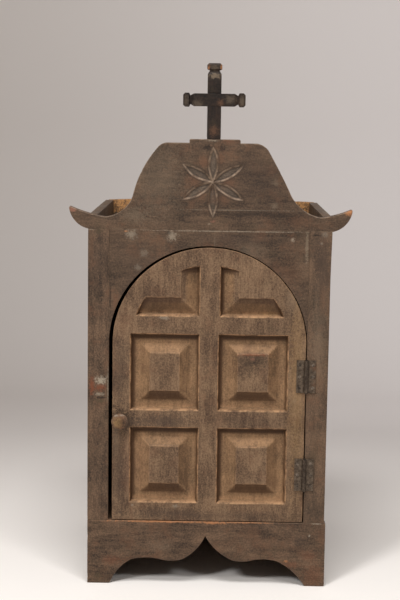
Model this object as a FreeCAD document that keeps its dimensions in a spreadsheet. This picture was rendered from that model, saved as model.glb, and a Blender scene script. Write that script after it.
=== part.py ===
import FreeCAD
import Part
import Sketcher
import os

# A carved wooden household altar: a small standing cabinet with one arched, carved
# door, a shaped apron that makes its feet, a tray on top behind a winged crest board
# with a compass-drawn rosette, and a cross on the crest.
#
# Frame: X to the right, Y into the cabinet, Z up. The origin lies on the floor at the
# centre of the whole footprint, door knob included. All sizes are in millimetres.
#
# Construction: the front frame (apron, two stiles, arch board) covers the front ends of
# the side boards. The back planks cover their rear ends. The roof and floor boards sit
# between the sides. The door closes flush in the frame's arch on two surface hinges.

SIZES = {
    # carcass
    "body_width": 380.0,
    "body_depth": 370.0,
    "frame_height": 570.1,
    "rim_rise": 22.0,
    "front_thickness": 18.0,
    "side_thickness": 14.0,
    "back_thickness": 12.0,
    "back_crown": 4.0,
    "back_corner": 6.0,
    "back_corner_bulge": 1.2,
    "right_side_hollow": 3.5,
    "roof_thickness": 12.0,
    "roof_drop": 10.0,
    "floor_thickness": 12.0,
    # front frame
    "left_stile_width": 33.0,
    "right_stile_width": 35.5,
    "arch_crown_width": 24.8,
    "arch_foot": 1.2,
    "apron_height": 104.4,
    # lower edge of the apron, sawn by hand, so its halves differ a little
    "left_foot_width": 36.0,
    "left_knee_x": 119.8,
    "left_neck_x": 70.8,
    "left_sill_x": 40.2,
    "right_foot_width": 31.7,
    "right_knee_x": 113.4,
    "right_neck_x": 70.6,
    "right_sill_x": 43.1,
    "apron_apex_x": -1.4,
    "apron_apex_height": 80.0,
    "apron_sill_height": 40.1,
    "knee_bulge": 4.6,
    "hump_bulge": 3.0,
    "sill_dip": 1.5,
    "ogee_bulge": 5.2,
    # crest board, sawn by hand as well
    "crest_thickness": 18.0,
    "wing_overhang": 29.5,
    "wing_tip_rise": 34.8,
    "wing_tip_edge": 4.2,
    "wing_under_bulge": 6.4,
    "wing_top_dip": 2.1,
    "left_dip_inset": 26.9,
    "left_dip_rise": 18.7,
    "left_turn_x": 120.9,
    "left_turn_rise": 52.6,
    "left_flank_x": 82.0,
    "left_flank_rise": 128.4,
    "left_flank_bulge": 5.3,
    "left_shoulder_x": 66.0,
    "right_dip_inset": 20.0,
    "right_dip_rise": 21.6,
    "right_turn_x": 121.4,
    "right_turn_rise": 61.8,
    "right_flank_x": 87.6,
    "right_flank_rise": 124.7,
    "right_flank_bulge": 0.6,
    "right_shoulder_x": 70.0,
    "crest_rise": 134.4,
    "sweep_bulge": 8.1,
    "shoulder_bulge": 2.0,
    "tab_left_x": 34.2,
    "tab_right_x": 44.7,
    "tab_rise": 5.8,
    # rosette, six petals struck with one compass setting
    "rosette_x": 3.0,
    "rosette_rise": 74.4,
    "compass_radius": 54.0,
    "petal_wood": 1.2,
    "petal_depth": 2.5,
    "petal_wall_run": 3.2,
    # cross
    "cross_x": 3.2,
    "cross_thickness": 16.0,
    "post_width": 21.3,
    "post_length": 116.0,
    "arm_height": 19.7,
    "arm_length": 95.9,
    "arm_drop": 46.0,
    "cap_length": 11.2,
    "cap_flare": 0.9,
    "cap_chamfer": 3.0,
    "neck_depth": 3.2,
    "neck_rise": 2.0,
    "shoulder_run": 5.5,
    "tenon_width": 12.0,
    "tenon_thickness": 6.0,
    "tenon_length": 22.0,
    "joint_clearance": 0.1,
    # door
    "door_thickness": 18.0,
    "gap_left": 6.0,
    "gap_right": 1.7,
    "gap_bottom": 1.2,
    "gap_top": 2.4,
    "door_stile": 28.0,
    "centre_stile": 30.0,
    "bottom_rail": 29.5,
    "middle_rail": 28.2,
    "upper_rail": 28.8,
    "arch_panel_rise": 44.0,
    "recess_depth": 9.0,
    "recess_wall_run": 3.0,
    "panel_margin": 12.5,
    "bevel_width": 14.0,
    "bevel_height": 5.2,
    "field_shoulder": 1.4,
    "arch_leg": 28.5,
    "arch_lip": 1.2,
    "cut_overrun": 2.0,
    # knob
    "knob_inset": 13.2,
    "knob_rise": 163.4,
    "knob_reach": 25.0,
    "knob_radius": 13.2,
    "knob_flat_radius": 9.2,
    "knob_chamfer_depth": 4.0,
    "knob_rim_width": 4.0,
    "knob_flange_radius": 8.0,
    "knob_flange_thickness": 2.5,
    "knob_neck_radius": 6.0,
    "knob_neck_length": 5.0,
    "spigot_radius": 4.0,
    "spigot_length": 12.0,
    # hinges
    "hinge_length": 52.0,
    "leaf_width": 15.2,
    "leaf_thickness": 1.6,
    "barrel_radius": 3.0,
    "barrel_clearance": 0.4,
    "barrel_play": 0.15,
    "pin_radius": 1.25,
    "pin_play": 0.05,
    "pin_head_radius": 2.3,
    "pin_head_height": 1.0,
    "screw_radius": 1.5,
    "screw_head_radius": 3.0,
    "screw_inset": 4.6,
    "screw_spacing": 18.0,
    "upper_hinge_drop": 49.2,
    "lower_hinge_rise": 78.0,
}
BARRELS = 3
PETALS = 6
# Half the distance between two neighbours of a neighbour, in compass settings
SINE_60 = 3 ** 0.5 / 2

doc = FreeCAD.newDocument("CarvedAltar")
sheet = doc.addObject("Spreadsheet::Sheet", "Sizes")
for row, (alias, number) in enumerate(SIZES.items(), start=1):
    sheet.set("A%d" % row, alias)
    sheet.set("B%d" % row, str(number))
    sheet.setAlias("B%d" % row, alias)
doc.recompute()


class Size:
    """A length with its number now and its formula over the sheet's cells."""

    def __init__(self, value, formula):
        self.value = float(value)
        self.formula = formula

    def __add__(self, other):
        other = as_size(other)
        return Size(self.value + other.value, "(%s + %s)" % (self.formula, other.formula))

    def __sub__(self, other):
        other = as_size(other)
        return Size(self.value - other.value, "(%s - %s)" % (self.formula, other.formula))

    def __mul__(self, other):
        other = as_size(other)
        return Size(self.value * other.value, "(%s * %s)" % (self.formula, other.formula))

    def __truediv__(self, other):
        other = as_size(other)
        return Size(self.value / other.value, "(%s / %s)" % (self.formula, other.formula))

    def __rsub__(self, other):
        return as_size(other) - self

    def __neg__(self):
        return as_size(0.0) - self

    __radd__ = __add__
    __rmul__ = __mul__


def as_size(number):
    return number if isinstance(number, Size) else Size(number, "%.6g" % number)


def size(alias):
    """The named cell of the sheet."""
    return Size(SIZES[alias], "Sizes." + alias)


def root(number):
    return Size(number.value ** 0.5, "sqrt(%s)" % number.formula)


def half_chord_squared(start, end):
    across = end[0] - start[0]
    up = end[1] - start[1]
    return (across * across + up * up) / 4


def arc_radius(start, end, bulge):
    """Radius of the arc over a chord that rises by the bulge at its middle."""
    return (half_chord_squared(start, end) + bulge * bulge) / (2 * bulge)


def arc_bulge(start, end, radius):
    """Rise, over the middle of a chord, of the shorter arc of a known radius."""
    return radius - root(radius * radius - half_chord_squared(start, end))


# Planes of a body, by role, and how an offset along the plane's normal is signed.
PLANES = {"front": ("XZ_Plane", -1), "floor": ("XY_Plane", 1), "side": ("YZ_Plane", 1)}


def new_sketch(body, name, facing, offset, shift=(0, 0)):
    """A sketch on one of the body's own planes, moved along the plane's normal to the
    given coordinate, with its own origin shifted in the plane."""
    role, sign = PLANES[facing]
    sketch = body.newObject("Sketcher::SketchObject", name)
    plane = [f for f in body.Origin.OriginFeatures if f.Role == role][0]
    sketch.AttachmentSupport = [(plane, "")]
    sketch.MapMode = "FlatFace"
    moves = {"x": as_size(shift[0]), "y": as_size(shift[1]), "z": sign * as_size(offset)}
    for axis, move in moves.items():
        sketch.setExpression("AttachmentOffset.Base." + axis, move.formula)
    return sketch


def pin_down(sketch, geometry, end, point, name):
    """Fix one end of an edge at a point whose two coordinates follow the sheet."""
    for kind, number in (("DistanceX", point[0]), ("DistanceY", point[1])):
        number = as_size(number)
        index = sketch.addConstraint(
            Sketcher.Constraint(kind, -1, 1, geometry, end, number.value))
        sketch.renameConstraint(index, name + kind[-1])
        sketch.setExpression("Constraints." + name + kind[-1], number.formula)


def draw(sketch, corners):
    """Draw a closed outline. A corner is (x, y), or (x, y, bulge) where the edge that
    leaves it is an arc, which bulges to the left of the way round when bulge is > 0."""
    corners = [tuple(as_size(number) for number in corner) for corner in corners]
    joined = []
    for i, corner in enumerate(corners):
        start, end = corner[:2], corners[(i + 1) % len(corners)][:2]
        a = FreeCAD.Vector(start[0].value, start[1].value, 0)
        b = FreeCAD.Vector(end[0].value, end[1].value, 0)
        if len(corner) == 2:
            edge = sketch.addGeometry(Part.LineSegment(a, b))
            ends = (1, 2)
        else:
            bulge = corner[2]
            left = FreeCAD.Vector(a.y - b.y, b.x - a.x, 0).normalize()
            top = (a + b) / 2 + left * bulge.value
            edge = sketch.addGeometry(Part.Arc(a, top, b))
            ends = (1, 2) if bulge.value < 0 else (2, 1)
            radius = arc_radius(start, end, bulge if bulge.value > 0 else -bulge)
            index = sketch.addConstraint(
                Sketcher.Constraint("Radius", edge, radius.value))
            sketch.renameConstraint(index, "radius%d" % i)
            sketch.setExpression("Constraints.radius%d" % i, radius.formula)
        joined.append((edge, ends))
    for i, (edge, ends) in enumerate(joined):
        before, before_ends = joined[i - 1]
        sketch.addConstraint(
            Sketcher.Constraint("Coincident", before, before_ends[1], edge, ends[0]))
        pin_down(sketch, edge, ends[0], corners[i][:2], "corner%d" % i)


def draw_circle(sketch, centre, radius, name="circle"):
    centre = [as_size(number) for number in centre]
    middle = FreeCAD.Vector(centre[0].value, centre[1].value, 0)
    edge = sketch.addGeometry(
        Part.Circle(middle, FreeCAD.Vector(0, 0, 1), radius.value))
    index = sketch.addConstraint(Sketcher.Constraint("Radius", edge, radius.value))
    sketch.renameConstraint(index, name + "Radius")
    sketch.setExpression("Constraints." + name + "Radius", radius.formula)
    pin_down(sketch, edge, 3, centre, name)


def rectangle(left, right, bottom, top):
    return [(left, bottom), (right, bottom), (right, top), (left, top)]


def new_body(label):
    body = doc.addObject("PartDesign::Body", label)
    body.Label = label
    return body


def extrude(body, kind, sketch, name, length, backwards, run=None):
    """Pad or pocket a sketch, with its walls sloped in by run over the length."""
    feature = body.newObject("PartDesign::" + kind, name)
    feature.Profile = sketch
    feature.setExpression("Length", length.formula)
    feature.Reversed = backwards
    if run is not None:
        feature.setExpression("TaperAngle", "-atan(%s / %s)" % (run.formula, length.formula))
    sketch.Visibility = False
    body.Tip = feature
    return feature


def board(label, corners, front, thickness):
    """A flat board seen from the front: an outline in X and Z, thick along Y."""
    body = new_body(label)
    sketch = new_sketch(body, label + "_outline", "front", front)
    draw(sketch, corners)
    extrude(body, "Pad", sketch, label + "_board", thickness, True)
    return body


# Planes and edges that pieces share
half_width = size("body_width") / 2
front_face = (size("knob_reach") - size("body_depth")) / 2
frame_back = front_face + size("front_thickness")
rear_face = front_face + size("body_depth")
back_front = rear_face - size("back_thickness")
joint = size("frame_height")
rim = joint + size("rim_rise")
apron_top = size("apron_height")
inner_half = half_width - size("side_thickness")
inner_depth = back_front - frame_back

# The arched opening
opening_left = size("left_stile_width") - half_width
opening_right = half_width - size("right_stile_width")
opening_top = joint - size("arch_crown_width")
arch_radius = (opening_right - opening_left) / 2
arch_centre = (opening_left + opening_right) / 2
springing = opening_top - arch_radius
# Where the arch has come in by the width of the arch board's foot
foot_reach = arch_radius - size("arch_foot")
foot_rise = root(arch_radius * arch_radius - foot_reach * foot_reach)
arch_foot_height = springing + foot_rise
foot_bulge = arc_bulge((opening_left, springing),
                       (opening_left + size("arch_foot"), arch_foot_height), arch_radius)

# The right side of the carcass was planed hollow: one long arc from floor to rim
hollow = size("right_side_hollow")
rim_half = rim / 2
hollow_radius = (rim_half * rim_half + hollow * hollow) / (2 * hollow)


def hollow_edge(height):
    """X of the hollow right edge at a height."""
    off = height - rim_half
    return half_width - hollow + hollow_radius - root(hollow_radius * hollow_radius - off * off)


def hollow_bulge(low, high):
    """How far the long hollow arc leaves its chord between two heights."""
    return arc_bulge((hollow_edge(low), low), (hollow_edge(high), high), hollow_radius)


def left_stile():
    left = -half_width
    shelf = opening_left + size("arch_foot")
    return board("left_stile", [
        (left, apron_top),
        (opening_left, apron_top),
        (opening_left, springing, foot_bulge),
        (shelf, arch_foot_height),
        (opening_left, arch_foot_height),
        (opening_left, joint),
        (left, joint),
    ], front_face, size("front_thickness"))


def right_stile():
    shelf = opening_right - size("arch_foot")
    return board("right_stile", [
        (opening_right, apron_top),
        (hollow_edge(apron_top), apron_top, hollow_bulge(apron_top, joint)),
        (hollow_edge(joint), joint),
        (opening_right, joint),
        (opening_right, arch_foot_height),
        (shelf, arch_foot_height, foot_bulge),
        (opening_right, springing),
    ], front_face, size("front_thickness"))


def arch_board():
    left = opening_left + size("arch_foot")
    right = opening_right - size("arch_foot")
    top = (arch_centre, opening_top)
    bulge = arc_bulge((left, arch_foot_height), top, arch_radius)
    return board("arch_board", [
        (opening_left, arch_foot_height),
        (left, arch_foot_height, bulge),
        (*top, bulge),
        (right, arch_foot_height),
        (opening_right, arch_foot_height),
        (opening_right, joint),
        (opening_left, joint),
    ], front_face, size("front_thickness"))


def front_apron():
    apex_x = size("apron_apex_x")
    apex = size("apron_apex_height")
    sill = size("apron_sill_height")
    return board("front_apron", [
        (-half_width, 0),
        (-half_width + size("left_foot_width"), 0, size("knee_bulge")),
        (-size("left_knee_x"), sill, size("hump_bulge")),
        (-size("left_neck_x"), sill, -size("sill_dip")),
        (-size("left_sill_x"), sill, -size("ogee_bulge")),
        (apex_x, apex, -size("ogee_bulge")),
        (size("right_sill_x"), sill, -size("sill_dip")),
        (size("right_neck_x"), sill, size("hump_bulge")),
        (size("right_knee_x"), sill, size("knee_bulge")),
        (half_width - size("right_foot_width"), 0),
        (half_width, 0),
        (half_width, apron_top),
        (-half_width, apron_top),
    ], front_face, size("front_thickness"))


def crest_half(side, sign):
    """Corners of one half of the crest, from the frame's top corner round to the tab."""
    body_edge = sign * half_width
    tip = sign * (half_width + size("wing_overhang"))
    tip_top = joint + size("wing_tip_rise")
    corners = [
        (body_edge, joint, size("wing_under_bulge")),
        (tip, tip_top - size("wing_tip_edge")),
        (tip, tip_top, -size("wing_top_dip")),
        (sign * (half_width - size(side + "_dip_inset")), joint + size(side + "_dip_rise"),
         -size("sweep_bulge")),
        (sign * size(side + "_turn_x"), joint + size(side + "_turn_rise"),
         size(side + "_flank_bulge")),
        (sign * size(side + "_flank_x"), joint + size(side + "_flank_rise"),
         size("shoulder_bulge")),
        (sign * size(side + "_shoulder_x"), joint + size("crest_rise")),
        (sign * size("tab_%s_x" % side), joint + size("crest_rise")),
        (sign * size("tab_%s_x" % side), tab_top),
    ]
    return corners


def reverse_round(corners):
    """The same open run of corners walked the other way, with its arcs kept."""
    points = [corner[:2] for corner in corners][::-1]
    bulges = [corner[2] if len(corner) == 3 else None for corner in corners[:-1]][::-1]
    walked = []
    for point, bulge in zip(points, bulges + [None]):
        walked.append(point if bulge is None else point + (-bulge,))
    return walked


tab_top = joint + size("crest_rise") + size("tab_rise")
cross_front = front_face + (size("crest_thickness") - size("cross_thickness")) / 2
cross_middle = front_face + size("crest_thickness") / 2


def crest_board():
    # The left half runs clockwise seen from the front, where a bulge to the left of the
    # way round points outwards. The right half is walked back from the tab.
    left = crest_half("left", -1)
    right = [(x, z) if not rest else (x, z, -rest[0])
             for x, z, *rest in crest_half("right", 1)]
    body = board("crest_board", left + reverse_round(right), front_face,
                 size("crest_thickness"))
    carve_rosette(body)
    half_slot = size("tenon_width") / 2 + size("joint_clearance")
    half_thick = size("tenon_thickness") / 2 + size("joint_clearance")
    sketch = new_sketch(body, "mortise_outline", "floor", tab_top)
    draw(sketch, rectangle(size("cross_x") - half_slot, size("cross_x") + half_slot,
                           cross_middle - half_thick, cross_middle + half_thick))
    depth = size("tenon_length") + size("joint_clearance")
    extrude(body, "Pocket", sketch, "mortise", depth, False)
    return body


def petal(body, name, depth, inset):
    """One petal, struck from its two neighbours' tips and pointing up: where two discs
    of the compass radius overlap, less the inset all round."""
    compass = size("compass_radius")
    sketch = new_sketch(body, name, "front", front_face + depth,
                        (size("rosette_x"), joint + size("rosette_rise")))
    reach = compass - inset
    half_across = compass * SINE_60
    half_long = root(reach * reach - half_across * half_across)
    middle = compass / 2
    bulge = reach - half_across
    draw(sketch, [(0, middle - half_long, -bulge), (0, middle + half_long, -bulge)])
    return sketch


def carve_rosette(body):
    """Six chip-carved petals, each a sloped cut down to a narrow bottom."""
    top = petal(body, "petal_edge", as_size(0.0), size("petal_wood"))
    bottom = petal(body, "petal_bottom", size("petal_depth"),
                   size("petal_wood") + size("petal_wall_run"))
    cut = body.newObject("PartDesign::SubtractiveLoft", "petal_cut")
    cut.Profile = top
    cut.Sections = [bottom]
    cut.Ruled = True
    body.Tip = cut
    pattern = body.newObject("PartDesign::PolarPattern", "rosette")
    pattern.Originals = [cut]
    pattern.Axis = (top, ["N_Axis"])
    pattern.Angle = 360
    pattern.Occurrences = PETALS
    body.Tip = pattern
    for sketch in (top, bottom):
        sketch.Visibility = False


def cap_corners(half, end):
    """One capped end of a cross bar, in half widths from its axis and heights along it:
    shoulder, neck, flare and chamfer, from the plain bar out to the end."""
    neck = end - size("cap_length")
    return [
        (half, neck - size("shoulder_run")),
        (half - size("neck_depth"), neck),
        (half + size("cap_flare"), neck + size("neck_rise")),
        (half + size("cap_flare"), end - size("cap_chamfer")),
        (half + size("cap_flare") - size("cap_chamfer"), end),
    ]


def whittle(body, name, facing, offset, length, end, sign):
    """Carry a cap round the front and back of a bar: cut the same notch and chamfer into
    both faces. The bar runs along the sketch's X on the floor plane and along its Y on
    the side plane, and sign says which end of it this is."""
    for face, inward in ((cross_front, 1), (cross_front + size("cross_thickness"), -1)):
        proud = face - inward * size("cut_overrun")
        neck = end - size("cap_length")
        profile = [
            (neck - size("shoulder_run"), proud),
            (neck - size("shoulder_run"), face),
            (neck, face + inward * size("neck_depth")),
            (neck + size("neck_rise"), face),
            (end - size("cap_chamfer"), face),
            (end, face + inward * size("cap_chamfer")),
            (end, proud),
        ]
        side = "front" if inward == 1 else "back"
        sketch = new_sketch(body, "%s_%s_outline" % (name, side), facing, offset)
        if facing == "side":
            draw(sketch, [(depth, along) for along, depth in profile])
        else:
            middle = size("cross_x")
            draw(sketch, [(middle + sign * along, depth) for along, depth in profile])
        extrude(body, "Pocket", sketch, "%s_%s" % (name, side), length, False)


def halving(body, name, outline, from_front):
    """Cut half of a cross bar's thickness away where the other bar crosses it."""
    half = size("cross_thickness") / 2
    start = cross_front if from_front else cross_front + half
    depth = half if from_front else half + size("cut_overrun")
    sketch = new_sketch(body, name + "_outline", "front", start)
    draw(sketch, outline)
    extrude(body, "Pocket", sketch, name, depth, False)


post_top = tab_top + size("post_length")
arm_middle = post_top - size("arm_drop") - size("arm_height") / 2


def cross_post():
    x = size("cross_x")
    half = size("post_width") / 2
    cap = cap_corners(half, post_top)
    right = [(x + across, up) for across, up in cap]
    left = [(x - across, up) for across, up in reversed(cap)]
    body = board("cross_post", [(x - half, tab_top), (x + half, tab_top)] + right + left,
                 cross_front, size("cross_thickness"))
    half_arm = size("arm_height") / 2
    halving(body, "arm_notch", rectangle(
        x - half, x + half, arm_middle - half_arm, arm_middle + half_arm), True)
    sketch = new_sketch(body, "tenon_outline", "floor", tab_top)
    half_tenon = size("tenon_width") / 2
    half_thick = size("tenon_thickness") / 2
    draw(sketch, rectangle(x - half_tenon, x + half_tenon,
                           cross_middle - half_thick, cross_middle + half_thick))
    extrude(body, "Pad", sketch, "tenon", size("tenon_length"), True)
    clear = half + size("cap_flare") + size("cut_overrun")
    whittle(body, "top_cap", "side", x + clear, 2 * clear, post_top, 1)
    return body


def cross_arm():
    x = size("cross_x")
    half = size("arm_height") / 2
    cap = cap_corners(half, size("arm_length") / 2)
    outline = [(x + along, arm_middle - across) for across, along in cap]
    outline += [(x + along, arm_middle + across) for across, along in reversed(cap)]
    outline += [(x - along, arm_middle + across) for across, along in cap]
    outline += [(x - along, arm_middle - across) for across, along in reversed(cap)]
    body = board("cross_arm", outline, cross_front, size("cross_thickness"))
    half_post = size("post_width") / 2
    halving(body, "post_notch", rectangle(
        x - half_post, x + half_post, arm_middle - half, arm_middle + half), False)
    clear = half + size("cap_flare") + size("cut_overrun")
    for name, sign in (("left_cap", -1), ("right_cap", 1)):
        whittle(body, name, "floor", arm_middle + clear, 2 * clear,
                size("arm_length") / 2, sign)
    return body


def side_boards():
    left = board("left_side_board", rectangle(-half_width, -inner_half, 0, rim),
                 frame_back, inner_depth)
    right = board("right_side_board", [
        (inner_half, 0),
        (half_width, 0, hollow),
        (half_width, rim),
        (inner_half, rim),
    ], frame_back, inner_depth)
    return [left, right]


def back_planks():
    """Two upright planks behind the sides, with one shallow crown along their tops and
    their outer top corners eased."""
    corner = size("back_corner")
    crown = size("back_crown")
    flat_half = half_width - corner
    middle = (as_size(0), rim + crown)
    crown_radius = arc_radius((-flat_half, rim), (flat_half, rim), crown)
    crown_bulge = arc_bulge((flat_half, rim), middle, crown_radius)
    ease = size("back_corner_bulge")
    left = board("back_plank_left", [
        (-half_width, 0),
        (0, 0),
        (*middle, -crown_bulge),
        (-flat_half, rim, -ease),
        (-half_width, rim - corner),
    ], back_front, size("back_thickness"))
    right = board("back_plank_right", [
        (0, 0),
        (half_width, 0),
        (half_width, rim - corner, -ease),
        (flat_half, rim, -crown_bulge),
        middle,
    ], back_front, size("back_thickness"))
    return [left, right]


def inner_boards():
    """Roof and floor boards between the side boards."""
    roof_top = joint - size("roof_drop")
    roof = board("roof_board", rectangle(
        -inner_half, inner_half, roof_top - size("roof_thickness"), roof_top),
        frame_back, inner_depth)
    floor = board("floor_board", rectangle(
        -inner_half, inner_half, apron_top - size("floor_thickness"), apron_top),
        frame_back, inner_depth)
    return [roof, floor]


# The door and what sits on it
door_left = opening_left + size("gap_left")
door_right = opening_right - size("gap_right")
door_bottom = apron_top + size("gap_bottom")
door_top = opening_top - size("gap_top")
door_radius = (door_right - door_left) / 2
door_centre = (door_left + door_right) / 2
door_springing = door_top - door_radius
carving_left = door_left + size("door_stile")
carving_right = door_right - size("door_stile")
lower_panel = door_bottom + size("bottom_rail")
arch_panel = door_springing + size("arch_panel_rise")
rails = size("middle_rail") + size("upper_rail")
panel_height = (arch_panel - lower_panel - rails) / 2
upper_panel = lower_panel + panel_height + size("middle_rail")
knob_x = door_left + size("knob_inset")
knob_height = door_bottom + size("knob_rise")


def carve_panel(body, name, left, right, bottom):
    """A sunk panel: sloped walls, a flat margin, then a mitred bevel up to a field that
    stands a small shoulder above it."""
    top = bottom + panel_height
    depth = size("recess_depth")
    floor = front_face + depth
    sketch = new_sketch(body, name + "_recess_outline", "front", front_face)
    draw(sketch, rectangle(left, right, bottom, top))
    extrude(body, "Pocket", sketch, name + "_recess", depth, False, size("recess_wall_run"))

    margin = size("recess_wall_run") + size("panel_margin")
    sketch = new_sketch(body, name + "_bevel_outline", "front", floor)
    draw(sketch, rectangle(left + margin, right - margin, bottom + margin, top - margin))
    extrude(body, "Pad", sketch, name + "_bevel", size("bevel_height"), False,
            size("bevel_width"))

    inset = margin + size("bevel_width")
    sketch = new_sketch(body, name + "_field_outline", "front", floor)
    draw(sketch, rectangle(left + inset, right - inset, bottom + inset, top - inset))
    extrude(body, "Pad", sketch, name + "_field",
            size("bevel_height") + size("field_shoulder"), False)


def door_blank():
    """The door's one board: arched outline, four sunk panels and the knob's hole."""
    quarter_bulge = arc_bulge(
        (door_right, door_springing), (door_centre, door_top), door_radius)
    body = board("door_blank", [
        (door_left, door_bottom),
        (door_right, door_bottom),
        (door_right, door_springing, -quarter_bulge),
        (door_centre, door_top, -quarter_bulge),
        (door_left, door_springing),
    ], front_face, size("door_thickness"))
    half_centre = size("centre_stile") / 2
    for row, bottom in (("lower", lower_panel), ("upper", upper_panel)):
        carve_panel(body, row + "_left", carving_left, -half_centre, bottom)
        carve_panel(body, row + "_right", half_centre, carving_right, bottom)
    sketch = new_sketch(body, "knob_hole_outline", "front", front_face)
    draw_circle(sketch, (knob_x, knob_height),
                size("spigot_radius") + size("joint_clearance"))
    depth = size("spigot_length") + size("joint_clearance")
    extrude(body, "Pocket", sketch, "knob_hole", depth, False)
    return body


def arch_cutter():
    """What is carved away beside the left quarter of the arch: two legs whose floors
    slope up from the outer walls to the quarter field and meet in a mitre, kept inside
    an arc that follows the door's edge."""
    outer = -size("centre_stile") / 2
    bottom = arch_panel
    deep = front_face + size("recess_depth")
    shallow = front_face + size("arch_lip")
    proud = front_face - size("cut_overrun")
    rim_radius = door_radius - size("door_stile")
    rim_left = door_centre - rim_radius
    rim_top = door_springing + rim_radius

    upright = new_body("upright_leg_cutter")
    sketch = new_sketch(upright, "upright_leg_profile", "floor", bottom)
    draw(sketch, [(outer, proud), (outer, deep), (outer - size("arch_leg"), shallow),
                  (outer - size("arch_leg"), proud)])
    extrude(upright, "Pad", sketch, "upright_leg", rim_top - bottom, False)

    level = new_body("level_leg_cutter")
    sketch = new_sketch(level, "level_leg_profile", "side", outer)
    draw(sketch, [(proud, bottom), (deep, bottom), (shallow, bottom + size("arch_leg")),
                  (proud, bottom + size("arch_leg"))])
    extrude(level, "Pad", sketch, "level_leg", outer - rim_left, True)

    legs = doc.addObject("Part::Fuse", "leg_cutters")
    legs.Base = upright
    legs.Tool = level
    disc = doc.addObject("Part::Cylinder", "arch_rim_cutter")
    disc.setExpression("Radius", rim_radius.formula)
    disc.setExpression("Height", (size("recess_depth") + 2 * size("cut_overrun")).formula)
    disc.Placement.Rotation = FreeCAD.Rotation(FreeCAD.Vector(1, 0, 0), -90)
    disc.setExpression("Placement.Base.x", door_centre.formula)
    disc.setExpression("Placement.Base.y", proud.formula)
    disc.setExpression("Placement.Base.z", door_springing.formula)
    cutter = doc.addObject("Part::Common", "left_arch_cutter")
    cutter.Base = legs
    cutter.Tool = disc
    return cutter


def door_slab():
    blank = door_blank()
    left = arch_cutter()
    right = doc.addObject("Part::Mirroring", "right_arch_cutter")
    right.Source = left
    right.Normal = FreeCAD.Vector(1, 0, 0)
    right.setExpression("Base.x", ((carving_left + carving_right) / 2).formula)
    pair = doc.addObject("Part::Fuse", "arch_cutters")
    pair.Base = left
    pair.Tool = right
    slab = doc.addObject("Part::Cut", "door_slab")
    slab.Label = "door_slab"
    slab.Base = blank
    slab.Tool = pair
    slab.Refine = True
    return slab


def door_knob():
    """A turned knob: spigot in the door, flange on its face, waist, and a head with a
    flared back, a narrow rim and a chamfered front."""
    body = new_body("door_knob")
    sketch = new_sketch(body, "knob_profile", "side", knob_x, (0, knob_height))
    flange_front = front_face - size("knob_flange_thickness")
    neck_front = flange_front - size("knob_neck_length")
    knob_front = front_face - size("knob_reach")
    rim_front = knob_front + size("knob_chamfer_depth")
    rim_back = rim_front + size("knob_rim_width")
    radius = size("knob_radius")
    flat = size("knob_flat_radius")
    draw(sketch, [
        (front_face + size("spigot_length"), 0),
        (front_face + size("spigot_length"), size("spigot_radius")),
        (front_face, size("spigot_radius")),
        (front_face, size("knob_flange_radius")),
        (flange_front, size("knob_flange_radius")),
        (flange_front, size("knob_neck_radius")),
        (neck_front, size("knob_neck_radius")),
        (rim_back, radius),
        (rim_front, radius),
        (knob_front, flat),
        (knob_front, 0),
    ])
    turned = body.newObject("PartDesign::Revolution", "turned_knob")
    turned.Profile = sketch
    turned.ReferenceAxis = (sketch, ["H_Axis"])
    turned.Angle = 360
    sketch.Visibility = False
    body.Tip = turned
    return body


hinge_x = (door_right + opening_right) / 2
hinge_y = front_face - size("barrel_radius") - size("barrel_clearance")


def hinge_leaf(label, middle, sign, barrels):
    """One leaf of a hinge, laid on the front face: a screwed plate beside the pin and
    the barrels that belong to it. sign is +1 towards the frame, -1 towards the door."""
    body = new_body(label)
    low = middle - size("hinge_length") / 2
    leaf_front = front_face - size("leaf_thickness")
    near = hinge_x + sign * (size("barrel_radius") + size("barrel_clearance"))
    far = hinge_x + sign * size("leaf_width")
    pitch = size("hinge_length") / BARRELS
    sketch = new_sketch(body, label + "_plate_outline", "front", leaf_front)
    draw(sketch, rectangle(near, far, low, low + size("hinge_length")))
    extrude(body, "Pad", sketch, label + "_plate", size("leaf_thickness"), True)
    for number in barrels:
        bottom = low + pitch * number + size("barrel_play")
        length = pitch - 2 * size("barrel_play")
        name = "%s_barrel_%d" % (label, number + 1)
        sketch = new_sketch(body, name + "_tongue_outline", "floor", bottom)
        draw(sketch, rectangle(hinge_x, near + sign * size("leaf_thickness"),
                               leaf_front, front_face - size("barrel_play")))
        extrude(body, "Pad", sketch, name + "_tongue", length, False)
        sketch = new_sketch(body, name + "_outline", "floor", bottom)
        draw_circle(sketch, (hinge_x, hinge_y), size("barrel_radius"))
        extrude(body, "Pad", sketch, name, length, False)
    sketch = new_sketch(body, label + "_pin_hole_outline", "floor", low)
    draw_circle(sketch, (hinge_x, hinge_y), size("pin_radius") + size("pin_play"))
    extrude(body, "Pocket", sketch, label + "_pin_hole", size("hinge_length"), True)

    screw_x = hinge_x + sign * (size("leaf_width") - size("screw_inset"))
    holes = new_sketch(body, label + "_screw_holes_outline", "front", leaf_front)
    sinks = new_sketch(body, label + "_sinks_outline", "front", leaf_front)
    for step in (-1, 0, 1):
        centre = (screw_x, middle + step * size("screw_spacing"))
        draw_circle(holes, centre, size("screw_radius"), "screw%d" % (step + 1))
        draw_circle(sinks, centre, size("screw_head_radius"), "sink%d" % (step + 1))
    extrude(body, "Pocket", holes, label + "_screw_holes", size("leaf_thickness"), False)
    run = size("screw_head_radius") - size("screw_radius")
    extrude(body, "Pocket", sinks, label + "_sinks", size("leaf_thickness"), False, run)
    return body


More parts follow.
